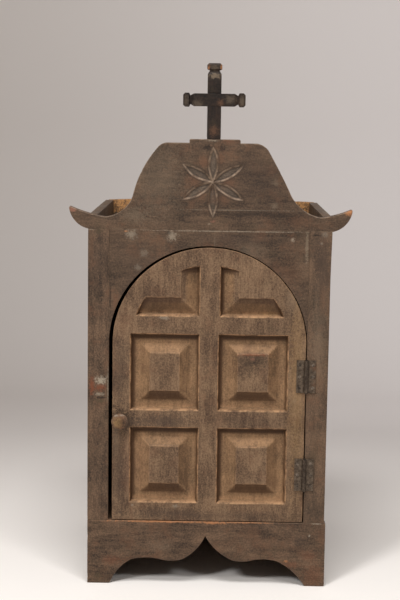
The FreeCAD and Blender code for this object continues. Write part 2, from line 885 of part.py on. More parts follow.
def hinge_pin(label, middle):
    """A pin through all the barrels, with a flat head at each end."""
    body = new_body(label)
    half = size("hinge_length") / 2
    head = half + size("pin_head_height")
    sketch = new_sketch(body, label + "_profile", "front", hinge_y, (hinge_x, middle))
    draw(sketch, [
        (0, -head),
        (size("pin_head_radius"), -head),
        (size("pin_head_radius"), -half),
        (size("pin_radius"), -half),
        (size("pin_radius"), half),
        (size("pin_head_radius"), half),
        (size("pin_head_radius"), head),
        (0, head),
    ])
    turned = body.newObject("PartDesign::Revolution", label + "_turned")
    turned.Profile = sketch
    turned.ReferenceAxis = (sketch, ["V_Axis"])
    turned.Angle = 360
    sketch.Visibility = False
    body.Tip = turned
    return body


def hinge(place, middle):
    """Frame leaf, door leaf and pin of one hinge. The frame leaf has the outer barrels."""
    return [
        hinge_leaf(place + "_hinge_frame_leaf", middle, 1, range(0, BARRELS, 2)),
        hinge_leaf(place + "_hinge_door_leaf", middle, -1, range(1, BARRELS, 2)),
        hinge_pin(place + "_hinge_pin", middle),
    ]


pieces = [front_apron(), left_stile(), right_stile(), arch_board(), crest_board()]
pieces += [cross_post(), cross_arm()]
pieces += side_boards() + back_planks() + inner_boards()
pieces += [door_slab(), door_knob()]
pieces += hinge("upper", door_springing - size("upper_hinge_drop"))
pieces += hinge("lower", door_bottom + size("lower_hinge_rise"))
doc.recompute()

for thing in doc.Objects:
    if "Invalid" in thing.State or "Error" in thing.State:
        raise RuntimeError("%s did not compute: %s" % (thing.Name, thing.State))
for piece in pieces:
    if piece.Shape.isNull() or not piece.Shape.isValid() or not piece.Shape.Solids:
        raise RuntimeError("%s has no valid solid" % piece.Label)

os.makedirs("parts", exist_ok=True)
for piece in pieces:
    piece.Shape.exportStep("parts/%s.step" % piece.Label)
    box = piece.Shape.BoundBox
    print("%-24s %8.1f cm3  x %7.1f..%7.1f  y %7.1f..%7.1f  z %6.1f..%6.1f" % (
        piece.Label, piece.Shape.Volume / 1000, box.XMin, box.XMax, box.YMin, box.YMax,
        box.ZMin, box.ZMax))
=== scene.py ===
# %% [markdown]
# # A carved wooden house altar
#
# The object is a small standing cabinet of old, oiled wood. It has one arched door with sunk
# panels, an apron sawn into feet, a winged crest board with a compass-drawn flower, and a cross
# on top. The CAD frame gives every board its place and size. This lesson gives the boards what a
# saw, a chisel and a century of hands leave behind: rounded arrises, carving, grain, dirt and
# bare wood where it was touched. It also paints shade into the door's carved corners and light
# onto what looks up there.

# %% Load the frame
import math

import bpy
import numpy as np
from mathutils import Matrix, Vector


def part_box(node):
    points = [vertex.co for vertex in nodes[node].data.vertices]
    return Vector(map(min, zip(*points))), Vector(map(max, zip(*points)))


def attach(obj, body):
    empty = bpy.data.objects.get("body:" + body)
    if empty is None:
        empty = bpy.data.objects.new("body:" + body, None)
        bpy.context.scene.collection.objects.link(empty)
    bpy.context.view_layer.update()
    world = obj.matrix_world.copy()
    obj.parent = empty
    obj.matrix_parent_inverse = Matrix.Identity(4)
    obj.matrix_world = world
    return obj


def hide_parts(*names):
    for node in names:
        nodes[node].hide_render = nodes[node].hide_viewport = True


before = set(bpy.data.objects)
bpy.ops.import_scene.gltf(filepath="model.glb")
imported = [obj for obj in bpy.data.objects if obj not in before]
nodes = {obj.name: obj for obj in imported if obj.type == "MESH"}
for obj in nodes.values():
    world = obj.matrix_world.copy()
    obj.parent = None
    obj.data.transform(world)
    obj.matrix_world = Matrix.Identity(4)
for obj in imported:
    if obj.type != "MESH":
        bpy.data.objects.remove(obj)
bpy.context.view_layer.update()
print("nodes in the frame:", len(nodes))

# %% [markdown]
# ## Millimetres, and places read from the frame
#
# A maker thinks in millimetres, so the outlines below are in millimetres and only the
# last step turns them into metres. Whatever can be read from the frame is read from it:
# the boards' faces, the arch, the door. If the frame changes, the pieces follow.

# %% Read the driving places
MM = 0.001


def span(node):
    """Lowest and highest corner of a node of the frame, in millimetres."""
    low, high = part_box(node)
    return np.array(low) / MM, np.array(high) / MM


arch_low, arch_high = span("arch_board")
apron_high = span("front_apron")[1]
crest_high = span("crest_board")[1]
door_low, door_high = span("door_slab")
post_low, post_high = span("cross_post")
arm_low, arm_high = span("cross_arm")
knob_low, knob_high = span("door_knob")

front = arch_low[1]
board_thickness = arch_high[1] - front
half_width = apron_high[0]
joint = arch_high[2]
apron_top = apron_high[2]
opening_left = arch_low[0]
opening_right = arch_high[0]
arch_radius = (opening_right - opening_left) / 2
arch_middle = (opening_right + opening_left) / 2
print("front face at y = %.1f, frame joint at z = %.1f" % (front, joint))
print("opening %.1f wide" % (2 * arch_radius))

# %% [markdown]
# ## Outlines from lines and arcs
#
# Every board here began as a line drawn on wood with a rule and a compass. So an
# outline is a short list of corners, and where an edge is round, its corner also holds
# the bulge: how far the arc rises over the middle of its chord. An arc of bulge b over
# a chord of half length h turns by 4 atan(b / h).

# %% Trace an outline
ARC_STEP = 2.0
LINE_STEP = 9.0


def turn(points, angle):
    """Points turned about the origin: x cos - z sin, x sin + z cos, anticlockwise."""
    c, s = np.cos(angle), np.sin(angle)
    return np.stack([points[..., 0] * c - points[..., 1] * s,
                     points[..., 0] * s + points[..., 1] * c], -1)


def edge_points(start, end, bulge):
    """Points from start up to, but without, end. A straight edge divides its chord
    evenly. A round one turns start about the arc's centre, which lies on the chord's
    middle line, by equal parts of 4 atan(bulge / half chord)."""
    chord = end - start
    half = np.linalg.norm(chord) / 2
    if bulge == 0:
        count = max(1, math.ceil(2 * half / LINE_STEP))
        return start + np.linspace(0, 1, count, endpoint=False)[:, None] * chord
    left = np.array([-chord[1], chord[0]]) / (2 * half)
    radius = (half ** 2 + bulge ** 2) / (2 * bulge)
    centre = (start + end) / 2 + left * (bulge - radius)
    angle = 4 * math.atan(bulge / half)
    count = max(4, math.ceil(abs(radius * angle) / ARC_STEP))
    steps = np.linspace(0, 1, count, endpoint=False) * angle
    return centre + turn(start - centre, -steps)


def trace(corners):
    """The closed outline through (x, z) or (x, z, bulge) corners, anticlockwise."""
    places = [np.array(corner[:2], float) for corner in corners]
    bulges = [corner[2] if len(corner) == 3 else 0 for corner in corners]
    ends = places[1:] + places[:1]
    ring = np.concatenate([edge_points(*edge) for edge in zip(places, ends, bulges)])
    after = np.roll(ring, -1, 0)
    area = np.sum(ring[:, 0] * after[:, 1] - ring[:, 1] * after[:, 0]) / 2
    return ring if area > 0 else ring[::-1]


def outward(ring):
    """Normals of a closed anticlockwise ring: the mean of the two edges' normals, and
    the length that carries a parallel edge round the corner."""
    edges = np.roll(ring, -1, 0) - ring
    edges /= np.linalg.norm(edges, axis=1)[:, None]
    after = np.stack([edges[:, 1], -edges[:, 0]], 1)
    mean = after + np.roll(after, 1, 0)
    mean /= np.linalg.norm(mean, axis=1)[:, None]
    mitre = 1 / np.maximum(np.sum(mean * after, 1), 0.5)
    return mean, mitre


square = trace([(0, 0), (10, 0), (10, 10), (0, 10)])
print("a 10 mm square is traced with", len(square), "points")

# %% [markdown]
# ## Hand-planed faces
#
# No face of an old board is flat. A smooth random surface could be a noise texture, but
# the mesh itself should have the shape, so the ripple below is a sum of plane waves
# with seeded directions and phases, scaled to stay within one.

# %% Make ripples
WAVES = 9


def ripple(a, b, length, seed):
    """Smooth noise: the mean of cosines of (k . p + phase), with k of about 2 pi over
    the length and random in direction, times two."""
    draw = np.random.default_rng(seed)
    angle = draw.uniform(0, 2 * np.pi, WAVES)
    size = 2 * np.pi / (length * draw.uniform(0.7, 1.5, WAVES))
    phase = draw.uniform(0, 2 * np.pi, WAVES)
    waves = np.cos(np.multiply.outer(a, size * np.cos(angle))
                   + np.multiply.outer(b, size * np.sin(angle)) + phase)
    return 2 * waves.mean(-1)


print("a ripple reaches %.2f" % np.abs(ripple(*np.mgrid[0:90, 0:90], 30, 1)).max())

# %% [markdown]
# ## A board as one surface
#
# A sharp box with a bevel would do for new furniture. Here each board is one closed
# surface in three parts. Its face is a grid of straight columns and rows, clipped by
# the outline. A rounded profile is then carried along the outline and down the side.
# The back is closed with one flat face, or with a second grid where it is carved too.
# Two numbers at each vertex tell the finish where hands wore the wood and where dirt settled. On
# the carved door the first also paints light on what looks up, and the second paints shade under
# walls and on slopes that look down.

# %% Grids clipped by an outline
FINEST_GAP = 0.15


def thin_out(lines):
    """The values moved onto multiples of the finest gap, sorted and each kept once."""
    return np.unique(np.round(lines / FINEST_GAP).astype(int)) * FINEST_GAP


def chains(ring):
    """Lower and upper run of a ring, each from its left end to its right end, as
    (x, z) with x never falling."""
    left, right = ring[:, 0].min(), ring[:, 0].max()
    at_left = np.flatnonzero(ring[:, 0] < left + 1e-3)
    at_right = np.flatnonzero(ring[:, 0] > right - 1e-3)
    start = at_left[np.argmin(ring[at_left, 1])]
    low_end = at_right[np.argmin(ring[at_right, 1])]
    high_end = at_right[np.argmax(ring[at_right, 1])]
    finish = at_left[np.argmax(ring[at_left, 1])]
    count = len(ring)
    lower = ring[(start + np.arange((low_end - start) % count + 1)) % count]
    upper = ring[(high_end + np.arange((finish - high_end) % count + 1)) % count][::-1]
    for run in (lower, upper):
        run[:, 0] = np.maximum.accumulate(run[:, 0])
    return lower, upper


def clipped_grid(ring, extra_x, extra_z, step):
    """Columns at even steps, at the outline's own points and at the extra places, and
    rows at even steps and extra places. Each row is clipped by the outline, so what
    lies outside folds onto it."""
    lower, upper = chains(ring)
    left, right = lower[0, 0], lower[-1, 0]
    even_x = np.linspace(left, right, max(2, math.ceil((right - left) / step)) + 1)
    columns = np.concatenate([even_x, lower[:, 0], upper[:, 0], extra_x])
    columns = thin_out(columns[(columns > left) & (columns < right)])
    columns = np.concatenate([[left], columns[(columns > left) & (columns < right)], [right]])
    bottom, top = lower[:, 1].min(), upper[:, 1].max()
    even_z = np.linspace(bottom, top, max(2, math.ceil((top - bottom) / step)) + 1)
    rows = np.concatenate([even_z, extra_z[(extra_z > bottom) & (extra_z < top)]])
    rows = np.concatenate([[bottom - 1], thin_out(rows), [top + 1]])
    low = np.interp(columns, lower[:, 0], lower[:, 1])
    high = np.interp(columns, upper[:, 0], upper[:, 1])
    x, z = np.meshgrid(columns, rows)
    return x, np.clip(z, low, high)


def grid_triangles(a, b, relief, heights):
    """Two triangles for each cell of the grid, split along the diagonal whose middle
    lies nearer to the true surface, which keeps carved creases straight."""
    numbers = np.arange(a.size).reshape(a.shape)
    corners = [numbers[:-1, :-1], numbers[:-1, 1:], numbers[1:, 1:], numbers[1:, :-1]]
    p, q, r, s = [corner.ravel() for corner in corners]
    a, b, heights = a.ravel(), b.ravel(), heights.ravel()
    true = relief((a[p] + a[q] + a[r] + a[s]) / 4, (b[p] + b[q] + b[r] + b[s]) / 4)
    first = np.abs((heights[p] + heights[r]) / 2 - true)
    second = np.abs((heights[q] + heights[s]) / 2 - true)
    rising = (first <= second)[:, None]
    one = np.where(rising, np.stack([p, q, r], 1), np.stack([p, q, s], 1))
    two = np.where(rising, np.stack([p, r, s], 1), np.stack([q, r, s], 1))
    return np.concatenate([one, two])


print("grid lines stand %.2f mm apart or more" % FINEST_GAP)

# %% [markdown]
# ## From arrays to a closed mesh
#
# Clipping leaves many vertices on top of each other. They are found as equal rows of
# the coordinate array and merged, and triangles that lost a corner are dropped, so the
# mesh is closed without a Python loop over its vertices.

# %% Build meshes
def merge(points, triangles):
    """Unique points, the map from old numbers to new, and the triangles that still
    have three different corners."""
    keys = np.round(points * 1e4).astype(np.int64)
    _, first, inverse = np.unique(keys, axis=0, return_index=True, return_inverse=True)
    inverse = inverse.ravel()
    triangles = inverse[triangles]
    alive = ((triangles[:, 0] != triangles[:, 1]) & (triangles[:, 1] != triangles[:, 2])
             & (triangles[:, 2] != triangles[:, 0]))
    return first, inverse, triangles[alive]


def ring_quads(ids):
    """Quads between the rows of an array of vertex numbers, where each row is a closed
    ring: a corner, the next one on its ring, and the same two on the next ring."""
    here, after = ids[:-1], ids[1:]
    quads = np.stack([here, np.roll(here, -1, 1), np.roll(after, -1, 1), after], -1)
    return quads.reshape(-1, 4)


def make_piece(name, points, faces, masks, body):
    """A mesh object at the origin, from points in millimetres. masks are named numbers
    per vertex for the finish."""
    mesh = bpy.data.meshes.new(name)
    mesh.from_pydata(points * MM, [], faces)
    for mask, values in masks.items():
        layer = mesh.attributes.new(mask, "FLOAT", "POINT")
        layer.data.foreach_set("value", np.clip(values, 0, 1).astype(np.float32))
    mesh.polygons.foreach_set("use_smooth", np.ones(len(mesh.polygons), bool))
    mesh.validate()
    piece = bpy.data.objects.new(name, mesh)
    bpy.context.scene.collection.objects.link(piece)
    keep_flat = piece.modifiers.new("flat faces stay flat", "WEIGHTED_NORMAL")
    keep_flat.weight = 60
    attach(piece, body)
    print("%-22s %6d faces" % (name, len(mesh.polygons)))
    return piece


# %% [markdown]
# ## Which way a board faces
#
# One function draws all boards, seen square on. A facing says where its own right, up
# and inward directions point in the object, so that right x up always looks out of the
# face and every triangle keeps its outside outside.

# %% Facings
FACINGS = {
    "front": ((1, 0, 0), (0, 0, 1), (0, 1, 0)),
    "back": ((-1, 0, 0), (0, 0, 1), (0, -1, 0)),
    "left": ((0, -1, 0), (0, 0, 1), (1, 0, 0)),
    "right": ((0, 1, 0), (0, 0, 1), (-1, 0, 0)),
    "top": ((1, 0, 0), (0, 1, 0), (0, 0, -1)),
    "front, lying down": ((0, 0, 1), (-1, 0, 0), (0, 1, 0)),
}
for facing, (right, up, inward) in FACINGS.items():
    outside = np.cross(right, up)
    assert np.array_equal(outside, -np.array(inward)), facing
print("facings:", ", ".join(FACINGS))

# %% [markdown]
# ## The board function
#
# A bevel modifier would round every arris alike. Old arrises are soft where hands went
# and chipped where something fell, so the profile is carried along the outline by hand
# and its size wanders. The face, the rings of the profile and the back share their
# vertices, so the board is one closed skin.

# %% The board function
ARRIS_STEPS = 4


def plain(a, b):
    """No cut at all: the relief of an uncarved face."""
    return np.zeros_like(a)


def board(name, corners, facing, face, thickness, body="cabinet",
          ease=1.0, step=9.0, wave=0.12, relief=plain, back_relief=None,
          lines=((), ()), seed=0, rubbed=1.0, carved=None):
    """A closed board. Its face lies at the coordinate face along the facing, sunk by
    relief(a, b) and by a ripple of height wave. A profile then turns over the arris, by
    offset ease sin(angle) and depth ease (1 - cos(angle)), and runs down the side to the
    back, which is sunk by back_relief(a, b). The grid has cells of size step and the
    extra lines. rubbed says how bare the arrises are, and carved(a, b) gives the masks
    of the face."""
    right, up, inward = [np.array(axis, float) for axis in FACINGS[facing]]
    ring = trace(corners)
    normals, mitre = outward(ring)
    inner = ring - normals * (ease * mitre)[:, None]
    a, b = clipped_grid(inner, np.array(lines[0], float), np.array(lines[1], float), step)

    def surface(p, q):
        return relief(p, q) + wave * (1 + np.clip(ripple(p, q, 60, seed), -1, 1))

    depth = surface(a, b)
    triangles = grid_triangles(a, b, surface, depth)
    flat = np.stack([a.ravel(), b.ravel()], 1)
    first, renumber, triangles = merge(flat, triangles)
    flat, depth = flat[first], depth.ravel()[first]
    numbers = renumber.reshape(a.shape)
    loop = np.concatenate([numbers[0], numbers[1:, -1], numbers[-1, -2::-1],
                           numbers[-2:0:-1, 0]])
    loop = loop[loop != np.roll(loop, 1)]
    out, _ = outward(flat[loop])
    along = flat[loop]

    # the arris is worn unevenly, so the profile is deeper in some places
    soft = ease * (1.15 + 0.5 * ripple(along[:, 0], along[:, 1], 45, seed + 1))
    chips = np.maximum(ripple(along[:, 0], along[:, 1], 14, seed + 2) - 0.75, 0) * ease
    start = depth[loop]
    rings = []
    wear_and_light = []
    for angle in np.linspace(0, np.pi / 2, ARRIS_STEPS + 1)[1:]:
        offset = (ease - chips) * np.sin(angle)
        rings.append((along + out * offset[:, None], start + soft * (1 - np.cos(angle))))
        wear_and_light.append(rubbed * (0.55 + 0.45 * np.sin(2 * angle)))
    if back_relief is None:
        end = np.full(len(loop), float(thickness))
    else:
        end = thickness - back_relief(along[:, 0], along[:, 1])
    for angle in np.linspace(np.pi / 2, 0, ARRIS_STEPS + 1):
        offset = ease * np.sin(angle)
        rings.append((along + out * offset, end - ease * (1 - np.cos(angle))))
        wear_and_light.append(rubbed * 0.5 * np.sin(2 * angle))

    count, total = len(loop), len(flat)
    ids = np.concatenate([[loop], total + np.arange(count * len(rings)).reshape(-1, count)])
    quads = ring_quads(ids)[:, [0, 3, 2, 1]]
    plane = np.concatenate([flat] + [place for place, _ in rings])
    sunk = np.concatenate([depth] + [level for _, level in rings])
    masks = {"wear_and_light": np.concatenate([np.zeros(total)] + [np.full(count, w) for w in wear_and_light]),
             "dirt_and_shade": np.zeros(len(plane)), "cut": np.zeros(len(plane))}
    faces = triangles.tolist() + quads.tolist()
    if back_relief is None:
        faces.append(ids[-1][::-1].tolist())
    else:
        # the same grid once more, turned over, and its loop joined to the last ring
        behind = len(plane) + np.arange(total)
        behind[loop] = ids[-1]
        faces += behind[triangles][:, ::-1].tolist()
        plane = np.concatenate([plane, flat])
        sunk = np.concatenate([sunk, thickness - back_relief(flat[:, 0], flat[:, 1])])
        masks = {mask: np.concatenate([values, np.zeros(total)])
                 for mask, values in masks.items()}
    if carved is not None:
        for mask, field in carved(flat[:, 0], flat[:, 1]).items():
            masks[mask][:total] = field
    points = plane[:, :1] * right + plane[:, 1:] * up + sunk[:, None] * inward
    points += face * np.abs(inward)
    return make_piece(name, points, faces, masks, body)


# %% [markdown]
# ## Where carving is worn, and where dirt and painted shade lie
#
# A point that stands higher than its surroundings is rubbed bare, so its depth is
# compared with the mean depth on a small circle around it. The carved boards below use
# this for their own masks, so no edge is painted by hand.

# %% Masks from the carving's own depth
CIRCLE = 12


def mean_around(field, a, b, radius):
    """Mean of a field on a circle about each point."""
    total = np.zeros_like(a)
    for angle in np.linspace(0, 2 * np.pi, CIRCLE, endpoint=False):
        total += field(a + radius * np.cos(angle), b + radius * np.sin(angle))
    return total / CIRCLE


print("a mean is taken over a circle of %d points" % CIRCLE)

# %% [markdown]
# ## The apron
#
# The lowest board of the frame is also the cabinet's front feet. Its lower edge is an
# ogee: two humps that swing up to a point. It was sawn by eye, so the halves differ.

# %% Saw the apron
SILL = 40.1
left_half = [
    (-half_width, 0),
    (-154.0, 0, 4.6),
    (-119.8, SILL, 3.0),
    (-70.8, SILL, -1.5),
    (-40.2, SILL, -5.2),
]
right_half = [
    (-1.4, 80.0, -5.2),
    (43.1, SILL, -1.5),
    (70.6, SILL, 3.0),
    (113.4, SILL, 4.6),
    (158.3, 0),
    (half_width, 0),
]
apron = board(
    "apron", left_half + right_half + [(half_width, apron_top), (-half_width, apron_top)],
    "front", front, board_thickness, back_relief=plain,
    ease=1.3, seed=11)
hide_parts("front_apron")

# %% [markdown]
# ## Stiles and arch board
#
# The two stiles stand on the apron. The arch board is let in between them and its arch
# was cut with the stiles, so a short piece of the arc belongs to each of them. The
# right stile's outer edge was planed hollow: one long arc from the floor to the rim.

# %% Saw the stiles and the arch board
FOOT = 1.2
HOLLOW = 3.5
ARCH_WOOD = 24.8
right_low, right_high = span("right_side_board")
rim = right_high[2]
hollow_radius = ((rim / 2) ** 2 + HOLLOW ** 2) / (2 * HOLLOW)
springing = joint - ARCH_WOOD - arch_radius
foot_height = springing + math.sqrt(arch_radius ** 2 - (arch_radius - FOOT) ** 2)


def bulge_of(start, end, radius):
    """Rise of the shorter arc of a radius over a chord."""
    half = math.dist(start, end) / 2
    return radius - math.sqrt(radius ** 2 - half ** 2)


def hollow_edge(height):
    """X of the hollow edge: an arc that comes in by HOLLOW halfway up to the rim."""
    rise = np.sqrt(hollow_radius ** 2 - (height - rim / 2) ** 2)
    return half_width - HOLLOW + hollow_radius - rise


foot_bulge = bulge_of((opening_left, springing), (opening_left + FOOT, foot_height), arch_radius)
left_stile = board("left_stile_board", [
    (-half_width, apron_top),
    (opening_left, apron_top),
    (opening_left, springing, foot_bulge),
    (opening_left + FOOT, foot_height),
    (opening_left, foot_height),
    (opening_left, joint),
    (-half_width, joint),
], "front", front, board_thickness, back_relief=plain,
    ease=0.6, seed=21)
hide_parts("left_stile")

stile_bulge = bulge_of((hollow_edge(apron_top), apron_top), (hollow_edge(joint), joint),
                       hollow_radius)
right_stile = board("right_stile_board", [
    (opening_right, apron_top),
    (hollow_edge(apron_top), apron_top, stile_bulge),
    (hollow_edge(joint), joint),
    (opening_right, joint),
    (opening_right, foot_height),
    (opening_right - FOOT, foot_height, foot_bulge),
    (opening_right, springing),
], "front", front, board_thickness, back_relief=plain,
    ease=0.6, seed=31)
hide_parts("right_stile")

crown = (arch_middle, springing + arch_radius)
quarter = bulge_of((opening_left + FOOT, foot_height), crown, arch_radius)
arch = board("arched_board", [
    (opening_left, foot_height),
    (opening_left + FOOT, foot_height, quarter),
    (*crown, quarter),
    (opening_right - FOOT, foot_height),
    (opening_right, foot_height),
    (opening_right, joint),
    (opening_left, joint),
], "front", front, board_thickness, back_relief=plain,
    ease=0.6, seed=41)
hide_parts("arch_board")

# %% [markdown]
# ## The crest and its flower
#
# The flower is drawn with one compass setting, as children draw it: each petal lies
# where two circles about its neighbours' tips overlap. How far a point lies inside both
# circles tells how deep the chisel went. The board's relief is the largest cut of the
# six, so the petals meet in the middle by themselves.

# %% Carve the crest
COMPASS = 54.0
FLOWER = np.array([3.0, joint + 74.4])
PETAL_WOOD = 0.2
PETAL_DEPTH = 2.6
PETAL_RUN = 3.0


def inside_petals(a, b):
    """How far a point lies inside the nearest petal, negative outside them all."""
    wander = 0.5 * ripple(a, b, 30, 5)
    x = a - FLOWER[0] + wander
    z = b - FLOWER[1] + 0.7 * wander
    tips = np.pi / 6 + np.arange(6) * np.pi / 3
    discs = [COMPASS - np.hypot(x - COMPASS * np.cos(t), z - COMPASS * np.sin(t)) for t in tips]
    petals = [np.minimum(discs[number], discs[(number + 2) % 6]) for number in range(6)]
    return np.max(petals, axis=0) - PETAL_WOOD


def flower_cut(a, b):
    """Depth of the petals: a quarter sine of the distance inside them."""
    reach = np.clip(inside_petals(a, b) / PETAL_RUN, 0, 1)
    return PETAL_DEPTH * np.sin(reach * np.pi / 2)


def crest_half(sign, dip, dip_rise, turn_at, turn_rise, flank, flank_rise, flank_bulge,
               shoulder, tab):
    """Corners of half the crest, from the frame's corner out along the wing and up."""
    tip = sign * crest_high[0]
    return [
        (sign * half_width, joint, 6.4),
        (tip, joint + 30.6),
        (tip, joint + 34.8, -2.1),
        (sign * (half_width - dip), joint + dip_rise, -8.1),
        (sign * turn_at, joint + turn_rise, flank_bulge),
        (sign * flank, joint + flank_rise, 2.0),
        (sign * shoulder, joint + 134.4),
        (sign * tab, joint + 134.4),
        (sign * tab, joint + 138.2, 0.59),
        (sign * (tab - 2), joint + 140.2),
    ]


def reversed_run(corners):
    """The run the other way round, where each corner takes the bulge of the edge that
    used to end there."""
    bulges = [corner[2] if len(corner) == 3 else 0 for corner in corners]
    places = [corner[:2] for corner in corners]
    return [(*place, bulge) for place, bulge in zip(places[::-1], bulges[-2::-1] + [0])]


def flower_masks(a, b):
    """The petals' edges are rubbed pale between two dark lines of old oil. Their floors
    are grey with dust."""
    inside = inside_petals(a, b)
    return {"wear_and_light": 1.3 * np.exp(-((inside - 0.7) / 1.1) ** 2),
            "dirt_and_shade": 0.5 * np.exp(-((inside + 1.9) / 1.2) ** 2)
                    + 0.55 * np.exp(-((inside - 3.2) / 1.0) ** 2),
            "cut": (inside - 1.2) * 0.7}


left_crest = crest_half(-1, 26.9, 18.7, 120.9, 52.6, 82.0, 128.4, 5.3, 66.0, 34.2)
right_crest = crest_half(1, 20.0, 21.6, 121.4, 61.8, 87.6, 124.7, 0.6, 70.0, 44.7)
petal_lines = np.arange(-COMPASS - 3, COMPASS + 3, 0.9)
crest = board("crest", left_crest + reversed_run(right_crest), "front", front, board_thickness,
              ease=1.0, relief=flower_cut, back_relief=plain,
              seed=51, carved=flower_masks,
              lines=(FLOWER[0] + petal_lines, FLOWER[1] + petal_lines))
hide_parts("crest_board")

# %% [markdown]
# ## The cross
#
# Two bars, halved over each other. Each free end has a cap: a shoulder, a notch and a
# chamfered knob, whittled on all four sides. The outline gives two of the sides, and
# the same profile as relief gives the front and the back.

# %% Whittle the cross
CAP = 11.2
NOTCH = 3.2
SHOULDER = 5.5
CHAMFER = 3.0
FLARE = 0.9
half_post = 21.3 / 2
half_arm = 19.7 / 2
cross_x = (post_low[0] + post_high[0]) / 2
arm_z = (arm_low[2] + arm_high[2]) / 2
cross_front = arm_low[1]
cross_thickness = arm_high[1] - arm_low[1]
tab_top = crest_high[2]
post_top = post_high[2]
arm_half_length = (arm_high[0] - arm_low[0]) / 2


def cap_cut(to_end):
    """Depth whittled off a face at a distance from the bar's end."""
    return np.interp(to_end, [0, CHAMFER, CAP - 2, CAP, CAP + SHOULDER],
                     [CHAMFER * 0.8, 0, 0, NOTCH, 0])


def cap_side(half, end):
    """The same cap in the outline, as (half width, place along the bar)."""
    neck = end - CAP
    return [
        (half, neck - SHOULDER),
        (half - NOTCH, neck),
        (half + FLARE, neck + 2.0),
        (half + FLARE, end - CHAMFER),
        (half + FLARE - CHAMFER, end),
    ]


def post_cut(a, b):
    """The cap, and half the thickness where the arm crosses. The post is drawn lying
    down, with a along its height."""
    lap = np.where(np.abs(a - arm_z) < half_arm, cross_thickness / 2 + 0.4, 0)
    return np.maximum(cap_cut(post_top - a), lap)


def post_back(a, b):
    """The cap alone."""
    return cap_cut(post_top - a)


def arm_cut(a, b):
    """A cap at each end: the distance to the nearer end is half the length less |a|."""
    return cap_cut(arm_half_length - np.abs(a - cross_x))


def arm_back(a, b):
    """The caps, and half the thickness where the post crosses behind."""
    lap = np.where(np.abs(a - cross_x) < half_post, cross_thickness / 2, 0)
    return np.maximum(arm_cut(a, b), lap)


post_cap = cap_side(half_post, post_top)
lap_places = arm_z + half_arm * np.array([-1.01, -0.99, 0.99, 1.01])
cap_places = post_top - np.arange(0, CAP + SHOULDER, 1.0)
post = board(
    "cross_upright",
    [(tab_top, half_post - cross_x), (tab_top, -half_post - cross_x)]
    + [(up, -across - cross_x) for across, up in post_cap]
    + [(up, across - cross_x) for across, up in reversed(post_cap)],
    "front, lying down", cross_front, cross_thickness, ease=0.8,
    step=4.0, wave=0.15, relief=post_cut, back_relief=post_back, seed=61,
    lines=(np.concatenate([lap_places, cap_places]), ()))
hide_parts("cross_post")

arm_cap = cap_side(half_arm, arm_half_length)
lap_columns = cross_x + half_post * np.array([-1.01, -0.99, 0.99, 1.01])
cap_columns = arm_half_length - np.arange(0, CAP + SHOULDER, 1.0)
arm_outline = [(cross_x + along, arm_z - across) for across, along in arm_cap]
arm_outline += [(cross_x + along, arm_z + across) for across, along in reversed(arm_cap)]
arm_outline += [(cross_x - along, arm_z + across) for across, along in arm_cap]
arm_outline += [(cross_x - along, arm_z - across) for across, along in reversed(arm_cap)]
arm = board(
    "cross_bar", arm_outline, "front", cross_front, cross_thickness,
    ease=0.8, step=4.0, wave=0.15, relief=arm_cut,
    back_relief=arm_back, seed=71,
    lines=(np.concatenate([lap_columns, cross_x + cap_columns, cross_x - cap_columns]), ()))
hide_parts("cross_arm")

# %% [markdown]
# ## The box behind the frame
#
# Sides, back planks, roof and floor are plain boards. The outer face of the right side
# is hollow like the stile in front of it, so its relief is that same long arc.

# %% Plane the box
BACK_CROWN = 4.0
BACK_CORNER = 6.0
CORNER_BULGE = 1.2


def rectangle(left, right, bottom, top):
    """Four corners, anticlockwise from the lower left."""
    return [(left, bottom), (right, bottom), (right, top), (left, top)]


side_low, side_high = span("left_side_board")
left_side = board("left_side", rectangle(-side_high[1], -side_low[1], 0, rim), "left",
                  -half_width, side_high[0] + half_width, step=12, seed=81)
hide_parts("left_side_board")


def hollow_cut(a, b):
    """The right side's hollow, the same at every depth."""
    return half_width - hollow_edge(b)


right_side = board("right_side", rectangle(right_low[1], right_high[1], 0, rim), "right",
                   half_width, half_width - right_low[0], step=12, relief=hollow_cut, seed=91)
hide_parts("right_side_board")

plank_low, plank_high = span("back_plank_left")
rear = plank_high[1]
flat_half = half_width - BACK_CORNER
plank_crown = BACK_CROWN / 4
for sign, node in ((1, "back_plank_left"), (-1, "back_plank_right")):
    # seen from behind, the left plank lies on the right
    plank = board(node.replace("back_plank", "plank"), [
        (0, 0),
        (sign * half_width, 0),
        (sign * half_width, rim - BACK_CORNER, -sign * CORNER_BULGE),
        (sign * flat_half, rim, -sign * plank_crown),
        (0, rim + BACK_CROWN),
    ], "back", rear, plank_high[1] - plank_low[1], step=12, seed=101 + sign)
    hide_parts(node)

for node in ("roof_board", "floor_board"):
    low, high = span(node)
    inner = board(node.replace("_board", "_panel"), rectangle(low[0], high[0], low[1], high[1]),
                  "top", high[2], high[2] - low[2], step=12, ease=0.7, seed=111)
    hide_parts(node)

# %% [markdown]
# ## The carved door
#
# One thick board, carved to look like a panelled door. The profile of a sunk panel is a
# function of one number, the distance from the nearest edge of its rectangle: wall,
# flat margin, bevel, field. The nearest edge changes along the diagonals, so the mitres
# come by themselves. The arch has two legs that slope up to the middle field.

# %% Place the panels
door_middle = (door_low[0] + door_high[0]) / 2
door_radius = (door_high[0] - door_low[0]) / 2
door_springing = door_high[2] - door_radius
STILE = 28.0
HALF_CENTRE = 15.0
carving_left = door_low[0] + STILE
carving_right = door_high[0] - STILE
lower_bottom = door_low[2] + 29.5
arch_bottom = door_springing + 44.0
MIDDLE_RAIL = 28.2
UPPER_RAIL = 28.8
panel_height = (arch_bottom - lower_bottom - MIDDLE_RAIL - UPPER_RAIL) / 2
upper_bottom = lower_bottom + panel_height + MIDDLE_RAIL
panels = [
    (left, right, bottom, bottom + panel_height)
    for bottom in (lower_bottom, upper_bottom)
    for left, right in ((carving_left, -HALF_CENTRE), (HALF_CENTRE, carving_right))
]
print("each sunk panel is %.1f mm high" % panel_height)

